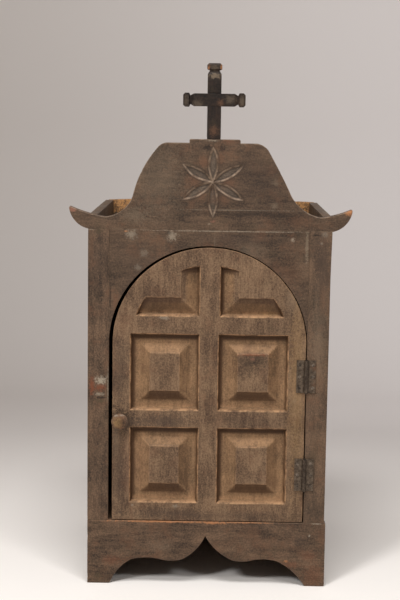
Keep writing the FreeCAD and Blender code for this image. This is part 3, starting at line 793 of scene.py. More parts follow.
# %% [markdown]
# ## Carving by distance
#
# Four walls, four margins and four bevels could be modelled one by one. A function of
# the distance to the nearest edge gives them all at once. The carver's knife wandered,
# so the place is moved a little before it is looked up, and the sharp form is mixed with
# its own mean nearby, which rounds its edges as wear does.

# %% Cut the panels
RECESS = 9.0
WALL = 3.0
MARGIN_END = 15.5
BEVEL_END = 29.5
FIELD_EDGE = 3.8
FIELD = 2.4
LEG = 28.5
LIP = 1.2
ROUND = 0.9


def panel_cut(a, b, left, right, bottom, top):
    """Depth as a run of straight lines over the distance to the nearest edge."""
    inside = np.minimum(np.minimum(a - left, right - a), np.minimum(b - bottom, top - b))
    return np.interp(inside, [0, WALL, MARGIN_END, BEVEL_END, BEVEL_END + ROUND],
                     [0, RECESS, RECESS, FIELD_EDGE, FIELD])


def arch_cut(across, b, rim_distance):
    """One corner of the arch: the floor slopes from the outer walls up to the field,
    and nothing is cut outside the arc."""
    inside = np.minimum(across, b - arch_bottom)
    slope = np.interp(inside, [0, WALL, LEG, LEG + ROUND], [0, RECESS - 0.8, LIP, 0])
    return np.minimum(slope, np.interp(rim_distance, [0, WALL], [0, RECESS]))


def sharp_cut(a, b):
    """The deepest of the four panels' cuts and the arch's two, before any wear."""
    cut = np.zeros_like(a)
    for panel in panels:
        cut = np.maximum(cut, panel_cut(a, b, *panel))
    rim_distance = door_radius - STILE - np.hypot(a - door_middle, b - door_springing)
    mirror = carving_left + carving_right
    for across in (-HALF_CENTRE - a, -HALF_CENTRE - (mirror - a)):
        cut = np.maximum(cut, arch_cut(across, b, rim_distance))
    return cut


def door_cut(a, b):
    """The carving as it is now: its sharp form, softened over a millimetre."""
    wander = 0.35 * ripple(a, b, 26, 7)
    a, b = a + wander, b + 0.8 * wander
    return (sharp_cut(a, b) + 2 * mean_around(sharp_cut, a, b, 0.7)) / 3


whole = np.mgrid[carving_left:carving_right, lower_bottom:arch_bottom]
print("carved up to %.1f mm deep" % sharp_cut(*whole).max())

# %% [markdown]
# ## Rubbed edges, painted light and painted shade on the door
#
# A baked occlusion map would show the corners, but not which way they face. Shade is painted
# under upper walls, beside side walls and on slopes that look down, and light is painted on what
# looks up and on the floor over a lower wall. Each rule compares the depth at a point with the
# depth a few steps to one side.

# %% Wear, painted light and painted shade of the door
def drop_from(a, b, across, up, steps):
    """How much deeper a point lies than the wood at some steps to one side, on average."""
    beside = [door_cut(a + across * step, b + up * step) for step in steps]
    return np.clip(door_cut(a, b) - np.mean(beside, axis=0), 0, None)


def door_wear_light_and_shade(a, b):
    """Arrises are rubbed bare. Light is painted on slopes that look up and on the floor just over
    a lower wall. Shade is painted under upper walls, right of left walls, left of right walls and
    on slopes that look down. Below the old skin, the cut wood is lighter."""
    depth = door_cut(a, b)
    looks_down = (door_cut(a, b - 1) - door_cut(a, b + 1)) / 2
    arris = (mean_around(door_cut, a, b, 1.1) - depth) * 1.5
    # rubbed arrises, and painted light on slopes that look up and over lower walls
    return {"wear_and_light": arris + np.clip(-looks_down * 0.9, 0, 0.22)
                    + 0.065 * drop_from(a, b, 0, -1, (2, 4, 6, 8)),
            # painted shade under upper walls, beside side walls and on slopes that look down
            "dirt_and_shade": 0.75 * np.clip(looks_down, 0, 1)
                    + 0.36 * drop_from(a, b, 0, 1, (1.5, 3.5, 6, 8.5))
                    + 0.24 * drop_from(a, b, -1, 0, (1, 3, 5, 7))
                    + 0.12 * drop_from(a, b, 1, 0, (1, 2.5)),
            "cut": (depth - 2.6) * 0.8}


under_wall = np.array([[carving_left + 30], [panels[0][3] - WALL]])
print("an upper wall drops %.1f mm" % drop_from(*under_wall, 0, 1, (3.5, 6))[0])

# %% [markdown]
# ## Grid lines where the carving turns
#
# An even grid fine enough for the bevels would need millions of cells. So the board gets
# lines only where the profile changes, mirrored from both edges of each panel, and finer
# ones where the arch panels run up along the arc.

# %% Draw the door's grid lines
PROFILE = np.array([-3, -1.5, -0.7, 0, 0.7, 1.5, 2.3, 3, 3.7, 5, 8, 12, 14.5, 15.5, 16.5,
                    19, 22, 25, 28, 29.5, 30.3, 31.5, 34])
carved_x = [place + sign * PROFILE
            for left, right, _, _ in panels[:2] for place, sign in ((left, 1), (right, -1))]
carved_z = [place + sign * PROFILE
            for _, _, bottom, top in panels[::2] for place, sign in ((bottom, 1), (top, -1))]
leg_top = door_springing + door_radius - STILE
leg_run = np.arange(14.0, 46.0, 1.2)
leg_x = np.concatenate([-leg_run, leg_run])
leg_z = np.concatenate([arch_bottom + PROFILE, np.arange(arch_bottom, leg_top, 4.0),
                        np.arange(leg_top - 14, leg_top + 2, 1.0)])
print("lines across:", len(leg_x) + sum(map(len, carved_x)))

# %% [markdown]
# ## The door's board
#
# The outline is three straight edges and two quarter arcs. The board turns with the
# door, so it rides the door's body. Its arrises are less bare than the frame's.

# %% Carve the door
door_quarter = bulge_of((door_high[0], door_springing), (door_middle, door_high[2]), door_radius)
door = board("carved_door", [
    (door_low[0], door_low[2]),
    (door_high[0], door_low[2]),
    (door_high[0], door_springing, -door_quarter),
    (door_middle, door_high[2], -door_quarter),
    (door_low[0], door_springing),
], "front", door_low[1], door_high[1] - door_low[1], body="door",
    ease=1.1, step=6.0, relief=door_cut, seed=121, rubbed=0.3, carved=door_wear_light_and_shade,
    lines=(np.concatenate(carved_x + [leg_x]), np.concatenate(carved_z + [leg_z])))
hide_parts("door_slab")

# %% [markdown]
# ## The turned knob
#
# A profile of distance from the axis over depth, carried round the axis. The turner
# left faint flats, so the radius swells a little eight times in a turn.

# %% Turn the knob
def turned(name, profile, centre, segments, flats, body):
    """Surface of revolution about a line along Y: x = r cos t and z = r sin t at each
    (radius, depth) of a profile that starts and ends on the axis, where r swells with
    flats times cos 8t."""
    profile = np.array(profile, float)
    angle = np.linspace(0, 2 * np.pi, segments, endpoint=False)
    swell = 1 + flats * np.cos(8 * angle)
    radius = profile[:, :1] * swell
    points = np.stack([centre[0] + radius * np.cos(angle),
                       np.broadcast_to(profile[:, 1:], radius.shape),
                       centre[1] + radius * np.sin(angle)], -1).reshape(-1, 3)
    quads = ring_quads(np.arange(len(points)).reshape(radius.shape))
    triangles = quads[:, [0, 1, 2, 0, 2, 3]].reshape(-1, 3)
    first, _, triangles = merge(points, triangles)
    high = np.repeat(profile[:, 0] / profile[:, 0].max(), segments)[first]
    masks = {"wear_and_light": high ** 3, "dirt_and_shade": (1 - high) * 0.6}
    return make_piece(name, points[first], triangles.tolist(), masks, body)


knob_x = (knob_low[0] + knob_high[0]) / 2
knob_z = (knob_low[2] + knob_high[2]) / 2
knob_front = knob_low[1]
knob_radius = (knob_high[0] - knob_low[0]) / 2
FOOT_RADIUS = 8.0
turning = [
    (0, 0), (4, 0.1), (8, 0.8), (9.8, 1.6), (11.8, 3.0), (12.8, 4.4), (knob_radius, 6.0),
    (12.9, 7.6), (11.8, 9.2), (9.5, 12.0), (7.4, 15.0), (6.2, 17.6), (6.0, 20.0),
    (6.4, 22.0), (7.6, 22.8), (FOOT_RADIUS, 23.6),
]
knob_profile = [(radius, knob_front + depth) for radius, depth in turning]
knob_profile += [(FOOT_RADIUS, front), (0, front)]
knob = turned("turned_knob", knob_profile, (knob_x, knob_z), 48, 0.012, "door")
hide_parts("door_knob")

# %% [markdown]
# ## Hinge screws
#
# The leaves, barrels and pins are exact in the frame, and stay. The frame leaves the
# screws out, so each countersink gets a domed head with a slot filed across it.

# %% Seat the screws
HEAD = 2.85
DOME = 0.5
BELOW = np.array([(HEAD - 0.2, 1.0), (1.4, 1.5)])
SLOT = 0.42
SLOT_DEPTH = 0.6
LEAF = 1.6
screw_tilt = np.random.default_rng(9).uniform(0, np.pi, 12)


def screw_head(name, centre, seat, tilt, body):
    """Polar grid: height falls with the square of the radius, less the slot, which is
    cut where the distance from its line is under its half width."""
    out = np.linspace(0, 1, 9)[1:]
    radius = np.concatenate([HEAD * out, BELOW[:, 0]])[:, None]
    depth = np.concatenate([DOME * out ** 2, BELOW[:, 1]])[:, None]
    angle = np.linspace(0, 2 * np.pi, 40, endpoint=False)
    across = radius * np.cos(angle)
    along = radius * np.sin(angle)
    in_slot = np.abs(across * np.sin(tilt) - along * np.cos(tilt)) < SLOT
    in_slot[len(out):] = False
    cut = np.where(in_slot, SLOT_DEPTH, 0)
    points = np.stack([centre[0] + across, seat + depth + cut, centre[1] + along], -1)
    ids = np.arange(across.size).reshape(across.shape)
    faces = ring_quads(ids).tolist() + [ids[0].tolist(), ids[-1][::-1].tolist()]
    masks = {"wear_and_light": 1 - cut.ravel(), "dirt_and_shade": cut.ravel()}
    return make_piece(name, points.reshape(-1, 3), faces, masks, body)


screws = []
for place in ("upper", "lower"):
    for leaf, sign, body in (("frame", 1, "cabinet"), ("door", -1, "door")):
        low, high = span("%s_hinge_%s_leaf" % (place, leaf))
        outer = high[0] if sign > 0 else low[0]
        middle = (low[2] + high[2]) / 2
        for step in (-1, 0, 1):
            centre = (outer - sign * 4.6, middle + step * 18.0)
            tilt = screw_tilt[len(screws)]
            name = "screw_%s_%s_%d" % (place, leaf, step + 2)
            screws.append(screw_head(name, centre, front - LEAF - 0.1, tilt, body))
print("screws:", len(screws))

# %% [markdown]
# ## A short way to write shader nodes
#
# A finish is a tree of nodes. To keep the cells short, a small class adds a node, sets
# its inputs by name and returns the output that comes next. A value that is the same
# everywhere is set on the socket itself and never passes through a node.

# %% Node helpers
SHEEN = 0.22


def shade(red, green, blue):
    """A colour as it looks on a screen, 0 to 255, in the linear light of the shader."""
    screen = np.array([red, green, blue]) / 255
    linear = np.where(screen <= 0.04045, screen / 12.92, ((screen + 0.055) / 1.055) ** 2.4)
    return (*linear.tolist(), 1.0)


class Finish:
    """One material and the nodes it is made of."""

    def __init__(self, name):
        self.material = bpy.data.materials.new(name)
        self.material.use_nodes = True
        self.tree = self.material.node_tree
        self.tree.nodes.clear()
        self.place = self.add("ShaderNodeTexCoord").outputs["Object"]

    def add(self, kind, inputs=(), **settings):
        """A node with its settings. An input is linked if it is a socket, else set."""
        node = self.tree.nodes.new(kind)
        for setting, value in settings.items():
            setattr(node, setting, value)
        for socket, value in dict(inputs).items():
            if isinstance(value, bpy.types.NodeSocket):
                self.tree.links.new(value, node.inputs[socket])
            else:
                node.inputs[socket].default_value = value
        return node

    def stretched(self, scale):
        """Object coordinates with each axis scaled, so a pattern runs along the grain."""
        return self.add("ShaderNodeMapping", {"Vector": self.place, "Scale": scale}).outputs[0]

    def noise(self, vector, scale, detail=4.0, roughness=0.55, distortion=0.0):
        """Noise from 0 to 1, with features of about 1 / scale metres."""
        return self.add("ShaderNodeTexNoise", {
            "Vector": vector, "Scale": scale, "Detail": detail, "Roughness": roughness,
            "Distortion": distortion}).outputs["Fac"]

    def band(self, value, low, high, to_low=0.0, to_high=1.0):
        """value from low to high becomes to_low to to_high, and stays within them."""
        return self.add("ShaderNodeMapRange", {
            "Value": value, "From Min": low, "From Max": high, "To Min": to_low,
            "To Max": to_high}, interpolation_type="SMOOTHSTEP").outputs[0]

    def maths(self, operation, first, second):
        """One operation on two numbers."""
        return self.add("ShaderNodeMath", {0: first, 1: second}, operation=operation).outputs[0]

    def mix(self, factor, first, second):
        """The first colour at factor 0 and the second at 1."""
        return self.add("ShaderNodeMix", {"Factor": factor, 6: first, 7: second},
                        data_type="RGBA").outputs[2]

    def mask(self, name):
        """A number that the mesh carries at its vertices."""
        return self.add("ShaderNodeAttribute", attribute_name=name).outputs["Fac"]

    def finish(self, colour, roughness, bump, metallic=0.0):
        """The principled surface, with the low sheen of dry, dusty wood or iron."""
        surface = self.add("ShaderNodeBsdfPrincipled", {
            "Base Color": colour, "Roughness": roughness, "Metallic": metallic,
            "Specular IOR Level": SHEEN, "Normal": bump})
        return self.done(surface)

    def done(self, surface):
        """The material, once its surface is joined to the output."""
        self.add("ShaderNodeOutputMaterial", {"Surface": surface.outputs[0]})
        return self.material


print("mid grey of a screen is %.3f in linear light" % shade(128, 128, 128)[0])

# %% [markdown]
# ## Marks that belong to one place
#
# Scuffs, stains and bare patches are where they are. Because every piece lies at the origin, a
# place in the object is a place in the material too. A mark is a soft ellipsoid on the front,
# with its edge broken up by noise. A thin one makes a scratch, a joint's pale line or an edge
# that was rubbed bare. A few marks are painted light and shade: the knob's shadow on the door,
# the knob's lit side, shaded side and highlights, and shade low on the back planks.

# %% Colours of the marks
BARE = shade(176, 120, 80)
# pale chips and lines, and also the painted highlights on the knob's rim
PALE_AND_HIGHLIGHT = shade(156, 142, 124)
DUST = shade(120, 104, 86)
WARM = shade(108, 76, 56)
RUST = shade(116, 68, 46)
PINK = shade(140, 98, 80)
# straw-coloured wood, and also the painted light on the knob's lit side
STRAW_AND_LIGHT = shade(178, 142, 94)
GOLD = shade(186, 136, 86)
MOSS = shade(78, 66, 48)
SLATE = shade(62, 50, 43)
# soot, and also painted shade: the knob's shadow, the knob's shaded sides and the dark low on the
# back planks
SOOT_AND_SHADE = shade(36, 28, 23)
MARK_DEPTH = 12.0


def mark(x, z, wide, high, colour, strength, y=front):
    """A mark on the front, or at another depth: centre and half sizes in millimetres."""
    return {"centre": (x * MM, y * MM, z * MM),
            "half": (wide * MM, MARK_DEPTH * MM, high * MM),
            "colour": colour, "strength": strength}


def paint_marks(finish, colour, marks):
    """Each mark mixes its own colour in, by how near the point is to its centre: the
    length of (place - centre) / half size, plus noise."""
    if not marks:
        return colour
    broken = finish.noise(finish.place, 260.0, 6.0, 0.9)
    edge = finish.band(broken, 0.3, 0.7, -0.8, 0.8)
    for spot in marks:
        offset = finish.add("ShaderNodeVectorMath", {0: finish.place, 1: spot["centre"]},
                            operation="SUBTRACT").outputs[0]
        scaled = finish.add("ShaderNodeVectorMath", {0: offset, 1: spot["half"]},
                            operation="DIVIDE").outputs[0]
        far = finish.add("ShaderNodeVectorMath", {0: scaled}, operation="LENGTH").outputs["Value"]
        reach = finish.maths("ADD", far, edge)
        amount = finish.band(reach, 0.3, 1.3, spot["strength"], 0.0)
        colour = finish.mix(amount, colour, spot["colour"])
    return colour


print("a mark reaches %.0f mm into the wood" % MARK_DEPTH)

# %% [markdown]
# ## Marks of the crest and the cross
#
# A long pale scratch runs across the crest's right half, soot lies below the cross and
# reddish wood shows between the petals. The wings' tips are rubbed bare. The cross is
# nearly black, with dust on its shoulders and bare wood on its topmost knob.

# %% Marks on the crest and the cross
crest_marks = [
    mark(45, 601.9, 90, 0.8, PALE_AND_HIGHLIGHT, 0.35),
    mark(53, 596, 86, 5, SOOT_AND_SHADE, 0.6),
    mark(-6, 698, 6, 5, SOOT_AND_SHADE, 0.8),
    mark(16, 697, 5, 6, SOOT_AND_SHADE, 0.7),
    mark(28, 708, 14, 5, WARM, 0.6),
    mark(3, 708.4, 9, 0.9, PALE_AND_HIGHLIGHT, 0.7),
    mark(-10, 677, 9, 9, WARM, 0.6),
    mark(-25, 646, 9, 9, WARM, 0.55),
    mark(28, 644, 13, 7, WARM, 0.55),
    mark(15, 682, 8, 9, WARM, 0.55),
    mark(-14, 622, 8, 8, WARM, 0.4),
    mark(22, 618, 8, 8, WARM, 0.4),
    mark(4, 584, 4, 2.2, PINK, 0.6),
    mark(-2, 580, 3, 1.4, PALE_AND_HIGHLIGHT, 0.4),
    mark(100, 645, 6, 5, DUST, 0.5),
    mark(-47, 684, 5, 9, SOOT_AND_SHADE, 0.4),
    mark(214, 602, 8, 6, BARE, 1.0),
    mark(-215, 600, 6, 4, PINK, 0.9),
    mark(-117, 592, 22, 12, DUST, 0.35),
    mark(139, 585, 23, 9, WARM, 0.35),
    mark(98, 609, 5, 5, DUST, 0.6),
    mark(75, 650, 45, 55, SLATE, 0.35),
    mark(-80, 645, 42, 60, DUST, 0.28),
]
cross_marks = [
    mark(3, 807, 11, 4, DUST, 0.8),
    mark(-6, 819, 2, 5, BARE, 0.6),
    mark(14, 820, 2, 5, BARE, 0.6),
    mark(13, 766, 5, 5, WARM, 0.5),
    mark(3, 723, 7, 8, WARM, 0.5),
    mark(46, 769, 5, 9, DUST, 0.35),
    mark(-40, 768, 4, 9, DUST, 0.25),
    mark(-23, 764, 8, 6, DUST, 0.3),
    mark(29, 772, 9, 6, DUST, 0.3),
    mark(3, 819, 6, 5, DUST, 0.3),
]
print("marks:", len(crest_marks), "on the crest,", len(cross_marks), "on the cross")

# %% [markdown]
# ## Marks of the frame
#
# The front frame has scuffs over the arch and a rusty patch with pale chips on the left
# stile. The apron is rubbed to a bare line along its top edge, below the door.

# %% Marks on the frame
arch_marks = [
    mark(30, 568.8, 122, 0.8, PALE_AND_HIGHLIGHT, 0.6),
    mark(-59, 561, 8, 8, PALE_AND_HIGHLIGHT, 0.6),
    mark(150, 546, 2.5, 25, DUST, 0.8),
    mark(-66, 565, 6, 3, SOOT_AND_SHADE, 0.5),
    mark(-123, 563, 8, 8, PALE_AND_HIGHLIGHT, 0.5),
    mark(-131, 567, 4, 1.2, BARE, 0.6),
    mark(-103, 533, 6, 6, PALE_AND_HIGHLIGHT, 0.4),
    mark(-112, 511, 5, 5, PALE_AND_HIGHLIGHT, 0.4),
    mark(128, 557, 3, 3, PALE_AND_HIGHLIGHT, 0.6),
    mark(-155, 464, 1.2, 28, SOOT_AND_SHADE, 0.7),
    mark(-146, 454, 6, 22, WARM, 0.5),
    mark(7, 555, 1.1, 12, DUST, 0.5),
    mark(62, 540, 22, 12, DUST, 0.3),
    mark(125, 502, 19, 22, WARM, 0.3),
    mark(-110, 525, 36, 30, SLATE, 0.35),
    mark(40, 556, 60, 9, SLATE, 0.35),
]
left_stile_marks = [
    mark(-185, 569, 6, 1, PALE_AND_HIGHLIGHT, 0.4),
    mark(-170, 553, 8, 9, SOOT_AND_SHADE, 0.5),
    mark(-173, 567, 6, 4, MOSS, 0.6),
    mark(-183, 322, 4.5, 15, RUST, 0.9),
    mark(-169, 320, 8, 7, RUST, 0.9),
    mark(-169, 331, 9, 6.5, PALE_AND_HIGHLIGHT, 0.95),
    mark(-171, 309, 8, 2.5, PALE_AND_HIGHLIGHT, 0.6),
    mark(-169, 303, 8, 2.5, SOOT_AND_SHADE, 0.8),
    mark(-170, 298, 6, 3.5, MOSS, 0.8),
    mark(-158, 324, 1.2, 28, PALE_AND_HIGHLIGHT, 0.4),
    mark(-184, 537, 3, 25, WARM, 0.4),
    mark(-162, 518, 5, 22, SOOT_AND_SHADE, 0.4),
    mark(-175, 530, 16, 40, SLATE, 0.3),
]
right_stile_marks = [
    mark(165, 564.5, 9, 1.9, SOOT_AND_SHADE, 0.9),
    mark(178, 566, 5, 5, PALE_AND_HIGHLIGHT, 0.5),
    mark(173, 552, 2.3, 2.3, PALE_AND_HIGHLIGHT, 0.7),
    mark(168, 519, 6, 22, SOOT_AND_SHADE, 0.4),
    mark(175, 520, 14, 60, SLATE, 0.6),
    mark(172, 400, 12, 70, DUST, 0.3),
    mark(176, 464, 5, 25, WARM, 0.3),
    mark(171, 225, 8, 31, MOSS, 0.2),
]
apron_marks = [
    mark(-66, 103.4, 90, 1.6, BARE, 0.9),
    mark(14, 102.4, 19, 2.5, BARE, 0.8),
    mark(62, 103.6, 44, 1.2, BARE, 0.8),
    mark(175, 103.6, 8, 1.4, PALE_AND_HIGHLIGHT, 0.7),
    mark(-150, 38, 16, 8, RUST, 0.35),
    mark(-89, 44, 23, 5, WARM, 0.35),
    mark(128, 40.6, 2.8, 2.3, BARE, 0.7),
    mark(135, 35, 16, 6, RUST, 0.35),
    mark(172, 17, 16, 19, RUST, 0.3),
    mark(165, 50, 12, 9, RUST, 0.3),
    mark(-188, 87, 5, 6, SOOT_AND_SHADE, 0.5),
    mark(165, 83.4, 1.7, 1.7, PALE_AND_HIGHLIGHT, 0.9),
    mark(147, 75, 9, 8, SLATE, 0.4),
    mark(-172, 13, 6, 6, MOSS, 0.4),
    mark(-73, 63, 19, 9, DUST, 0.3),
]
frame_marks = arch_marks + left_stile_marks + right_stile_marks + apron_marks
print("marks on the frame:", len(frame_marks))

# %% [markdown]
# ## Marks of the door
#
# A shadow of the knob is painted to its right and below it, and a crack slants down to it from
# the door's edge.
# The rails are greyer than the panels, and the right edge is paler.

# %% Marks on the door
door_marks = [
    # painted shadow of the knob, to its right and below it
    mark(knob_x + 4, knob_z - 3, 22, 20, SOOT_AND_SHADE, 0.7),
    mark(-148, 289.3, 5, 2.8, SOOT_AND_SHADE, 0.5),
    mark(-141, 283, 5, 2.8, SOOT_AND_SHADE, 0.5),
    mark(-134, 276, 5, 2.8, SOOT_AND_SHADE, 0.5),
    mark(-69, 432, 8, 3, PALE_AND_HIGHLIGHT, 0.5),
    mark(62, 358, 13, 20, SOOT_AND_SHADE, 0.5),
    mark(79, 366, 14, 12, SOOT_AND_SHADE, 0.5),
    mark(71, 375, 25, 2.5, RUST, 0.7),
    mark(69, 368, 4, 3, PINK, 0.5),
    mark(-115, 200, 22, 55, PINK, 0.16),
    mark(-50, 129, 5, 3, PALE_AND_HIGHLIGHT, 0.5),
    mark(-119, 130, 2.3, 2.3, PALE_AND_HIGHLIGHT, 0.7),
    mark(-141, 187, 11, 94, SLATE, 0.4),
    mark(-138, 350, 13, 70, SLATE, 0.35),
    mark(60, 270, 60, 11, SLATE, 0.25),
    mark(0, 114, 130, 8, SLATE, 0.4),
    mark(-135, 420, 9, 22, WARM, 0.3),
    mark(136, 302, 4, 4, DUST, 0.4),
    mark(93, 440, 12, 3, STRAW_AND_LIGHT, 0.6),
    mark(-75, 267, 50, 12, SLATE, 0.6),
    mark(-145, 235, 5, 19, DUST, 0.3),
    mark(-66, 119, 55, 9, SLATE, 0.3),
    mark(129, 463, 9, 28, DUST, 0.3),
    mark(139, 320, 13, 170, STRAW_AND_LIGHT, 0.2),
    mark(-120, 130, 3, 70, WARM, 0.25),
]
print("marks on the door:", len(door_marks))

# %% [markdown]
# ## Old wood
#
# Old wood is never one brown. Broad clouds show where oil and smoke darkened it, streaks and
# fibres follow the grain, and small specks are dust and bruises. Its hue wanders too, from
# reddish to olive. One noise node gives three independent fields by its colour output, so two of
# them shift the hue and the third the tone. The masks come last: cut wood, grime with painted
# shade, and bare arrises with painted light, each broken by noise so that it looks rubbed.

# %% The wood finish
UPRIGHT = (1.0, 1.0, 0.16)
LYING = (0.16, 1.0, 1.0)
DEEP = (1.0, 0.16, 1.0)


def aged_wood(name, tones, grain, marks=(), wear_and_light_level=1.0, warm=0.4, grime_and_shade=SOOT_AND_SHADE):
    """tones are dark, light, bare and cut wood, and grain scales the place down along the fibres.
    The tone is a sum of noises, each brought to its own share, and mixes dark with light. The
    number after the marks says how bare the rubbed places are and, on the door, how bright the
    painted light is, and warm how red the patches. The last colour is mixed in by the darkening
    mask, and on the door it is painted shade."""
    wood = Finish(name)
    dark, light, bare, cut = tones
    cut_dark = (*[channel * 0.35 for channel in cut[:3]], 1.0)
    chiselled = wood.mask("cut")
    dark = wood.mix(chiselled, dark, cut_dark)
    light = wood.mix(chiselled, light, cut)
    along = wood.stretched(grain)
    clouds = wood.noise(wood.place, 13.0, 4.0, 0.65)
    streaks = wood.noise(along, 120.0, 6.0, 0.65, 0.5)
    fibres = wood.noise(along, 620.0, 3.0, 0.6)
    specks = wood.noise(wood.place, 360.0, 5.0, 0.75)
    flecks = wood.noise(along, 900.0, 2.0, 0.6)
    patches = wood.add("ShaderNodeTexNoise", {
        "Vector": wood.place, "Scale": 42.0, "Detail": 5.0, "Roughness": 0.65})
    patch = wood.add("ShaderNodeSeparateColor", {"Color": patches.outputs["Color"]}).outputs
    tone = wood.band(clouds, 0.35, 0.65, -0.14, 0.28)
    for field, low, high, least, most in (
            (streaks, 0.35, 0.65, -0.05, 0.3), (patch[0], 0.35, 0.65, 0.06, 0.2),
            (specks, 0.35, 0.65, -0.15, 0.4), (flecks, 0.45, 0.8, 0.0, 0.35)):
        tone = wood.maths("ADD", tone, wood.band(field, low, high, least, most))
    colour = wood.mix(tone, dark, light)
    for field, low, high, most, other in (
            (patch[1], 0.5, 0.68, warm, WARM), (patch[2], 0.52, 0.7, 0.2, MOSS),
            (fibres, 0.48, 0.78, 0.5, dark)):
        colour = wood.mix(wood.band(field, low, high, 0.0, most), colour, other)
    colour = paint_marks(wood, colour, marks)
    # darker where the mask of dirt lies; on the door this is painted shade in the carving
    colour = wood.mix(wood.maths("MULTIPLY", wood.mask("dirt_and_shade"), 0.85), colour, grime_and_shade)
    # bare wood where it is rubbed; on the door also painted light on what looks up and over lower
    # walls
    rubbed = wood.maths("MULTIPLY", wood.mask("wear_and_light"), wood.band(
        wood.noise(wood.place, 75.0, 5.0, 0.7), 0.38, 0.62, 0.1, wear_and_light_level))
    colour = wood.mix(rubbed, colour, bare)
    height = wood.maths("ADD", streaks, wood.maths("MULTIPLY", specks, 0.9))
    height = wood.maths("ADD", height, wood.maths("MULTIPLY", patch[0], 1.5))
    bump = wood.add("ShaderNodeBump", {"Height": height, "Strength": 0.6,
                                       "Distance": 0.0011}).outputs[0]
    roughness = wood.band(wood.maths("ADD", clouds, wood.maths("MULTIPLY", specks, 0.4)),
                          0.5, 0.9, 0.5, 0.75)
    return wood.finish(colour, roughness, bump)


print("along the fibres the pattern is %.1f times as long" % (1 / UPRIGHT[2]))

# %% [markdown]
# ## Each board's own wood
#
# One finish for all the boards would look printed. The boards came from different planks and were
# touched in different places, so each has its own four tones: dark, light, bare where it is
# rubbed, and grey or brown where a chisel cut it. On the door the bare tone also serves as
# painted light, and a fifth, darker colour as painted shade.

# %% Wood of each board
chisel_grey = shade(112, 96, 82)
frame_dark = shade(50, 39, 31)
frame_light = shade(106, 84, 66)
stile_light = shade(118, 93, 73)
frame_bare = shade(130, 108, 88)
crest_wood = (frame_dark, frame_light, shade(152, 130, 110), chisel_grey)
arch_wood = (frame_dark, frame_light, frame_bare, chisel_grey)
frame_wood = (frame_dark, stile_light, frame_bare, chisel_grey)
right_wood = (shade(66, 53, 42), stile_light, frame_bare, chisel_grey)
door_wood = (shade(72, 53, 40), shade(140, 112, 86), shade(198, 154, 114), shade(156, 121, 88))
box_wood = (shade(56, 45, 36), shade(106, 86, 68), shade(118, 102, 86), chisel_grey)
shelf_wood = (shade(74, 58, 45), shade(116, 90, 68), shade(130, 104, 80), chisel_grey)
cross_wood = (shade(18, 13, 11), shade(50, 37, 29), shade(78, 62, 48), chisel_grey)
turned_wood = (shade(66, 46, 33), shade(136, 98, 68), shade(128, 104, 86), chisel_grey)
tray_gold_and_low_shade = [
    mark(0, 596, 260, 40, GOLD, 1.0, plank_low[1]),
    # painted shade low on the planks' inner face, where it is seen under the apron
    mark(0, 20, 260, 90, SOOT_AND_SHADE, 0.8, plank_low[1]),
]
# the knob's painted light and shade: lighter left of its middle, painted shade on its right and
# underneath, painted highlights on its upper rim
knob_light_and_shade = [
    mark(knob_x - 4, knob_z - 1, 8, 8, STRAW_AND_LIGHT, 0.55, knob_front),
    mark(knob_x + 13, knob_z - 3, 8, 16, SOOT_AND_SHADE, 0.95, knob_front + 4),
    mark(knob_x + 2, knob_z - 15, 14, 7, SOOT_AND_SHADE, 0.9, knob_front + 4),
    mark(knob_x - 7, knob_z + 10.5, 5, 1.5, PALE_AND_HIGHLIGHT, 0.8, knob_front + 3),
    mark(knob_x + 5, knob_z + 11, 4, 1.3, PALE_AND_HIGHLIGHT, 0.7, knob_front + 3),
]
box_finish = aged_wood("box wood", box_wood, UPRIGHT)
plank_finish = aged_wood("back plank wood", box_wood, UPRIGHT, tray_gold_and_low_shade)
shelf_finish = aged_wood("shelf wood", shelf_wood, LYING)
finishes = {
    "crest": aged_wood("weathered crest", crest_wood, LYING, crest_marks, 0.9),
    "arched_board": aged_wood("weathered arch board", arch_wood, LYING, arch_marks, 0.55),
    "left_stile_board": aged_wood("weathered left stile", frame_wood, UPRIGHT,
                                  left_stile_marks, 0.6),
    "right_stile_board": aged_wood("weathered right stile", right_wood, UPRIGHT,
                                   right_stile_marks, 0.5),
    "apron": aged_wood("weathered apron", frame_wood, LYING, apron_marks, 0.5),
    # the door's last colour, shade(62, 39, 22), is painted shade in its carving
    "carved_door": aged_wood("door wood", door_wood, UPRIGHT, door_marks, 0.9, 0.3,
                             shade(62, 39, 22)),
    "turned_knob": aged_wood("knob wood", turned_wood, DEEP, knob_light_and_shade, 0.6),
    "cross_upright": aged_wood("cross wood", cross_wood, UPRIGHT, cross_marks, 0.4, 0.12),
    "cross_bar": aged_wood("cross bar wood", cross_wood, LYING, cross_marks, 0.4, 0.12),
    "left_side": box_finish,
    "right_side": box_finish,
    "plank_left": plank_finish,
    "plank_right": plank_finish,
    "roof_panel": shelf_finish,
    "floor_panel": shelf_finish,
}
print("boards with a finish:", len(finishes))

# %% [markdown]
# ## Old iron
#
# The hinges' leaves and pins are blackened iron that has browned. Plain metal would mirror the
# room, so it is only half metallic and rough, with rust in its pits. The leaves are darker along
# the pins, and the screw heads are rubbed.

# %% Iron finish
HALF_METAL = 0.4
BARREL = 3
RUST_IN_PITS = shade(84, 56, 40)


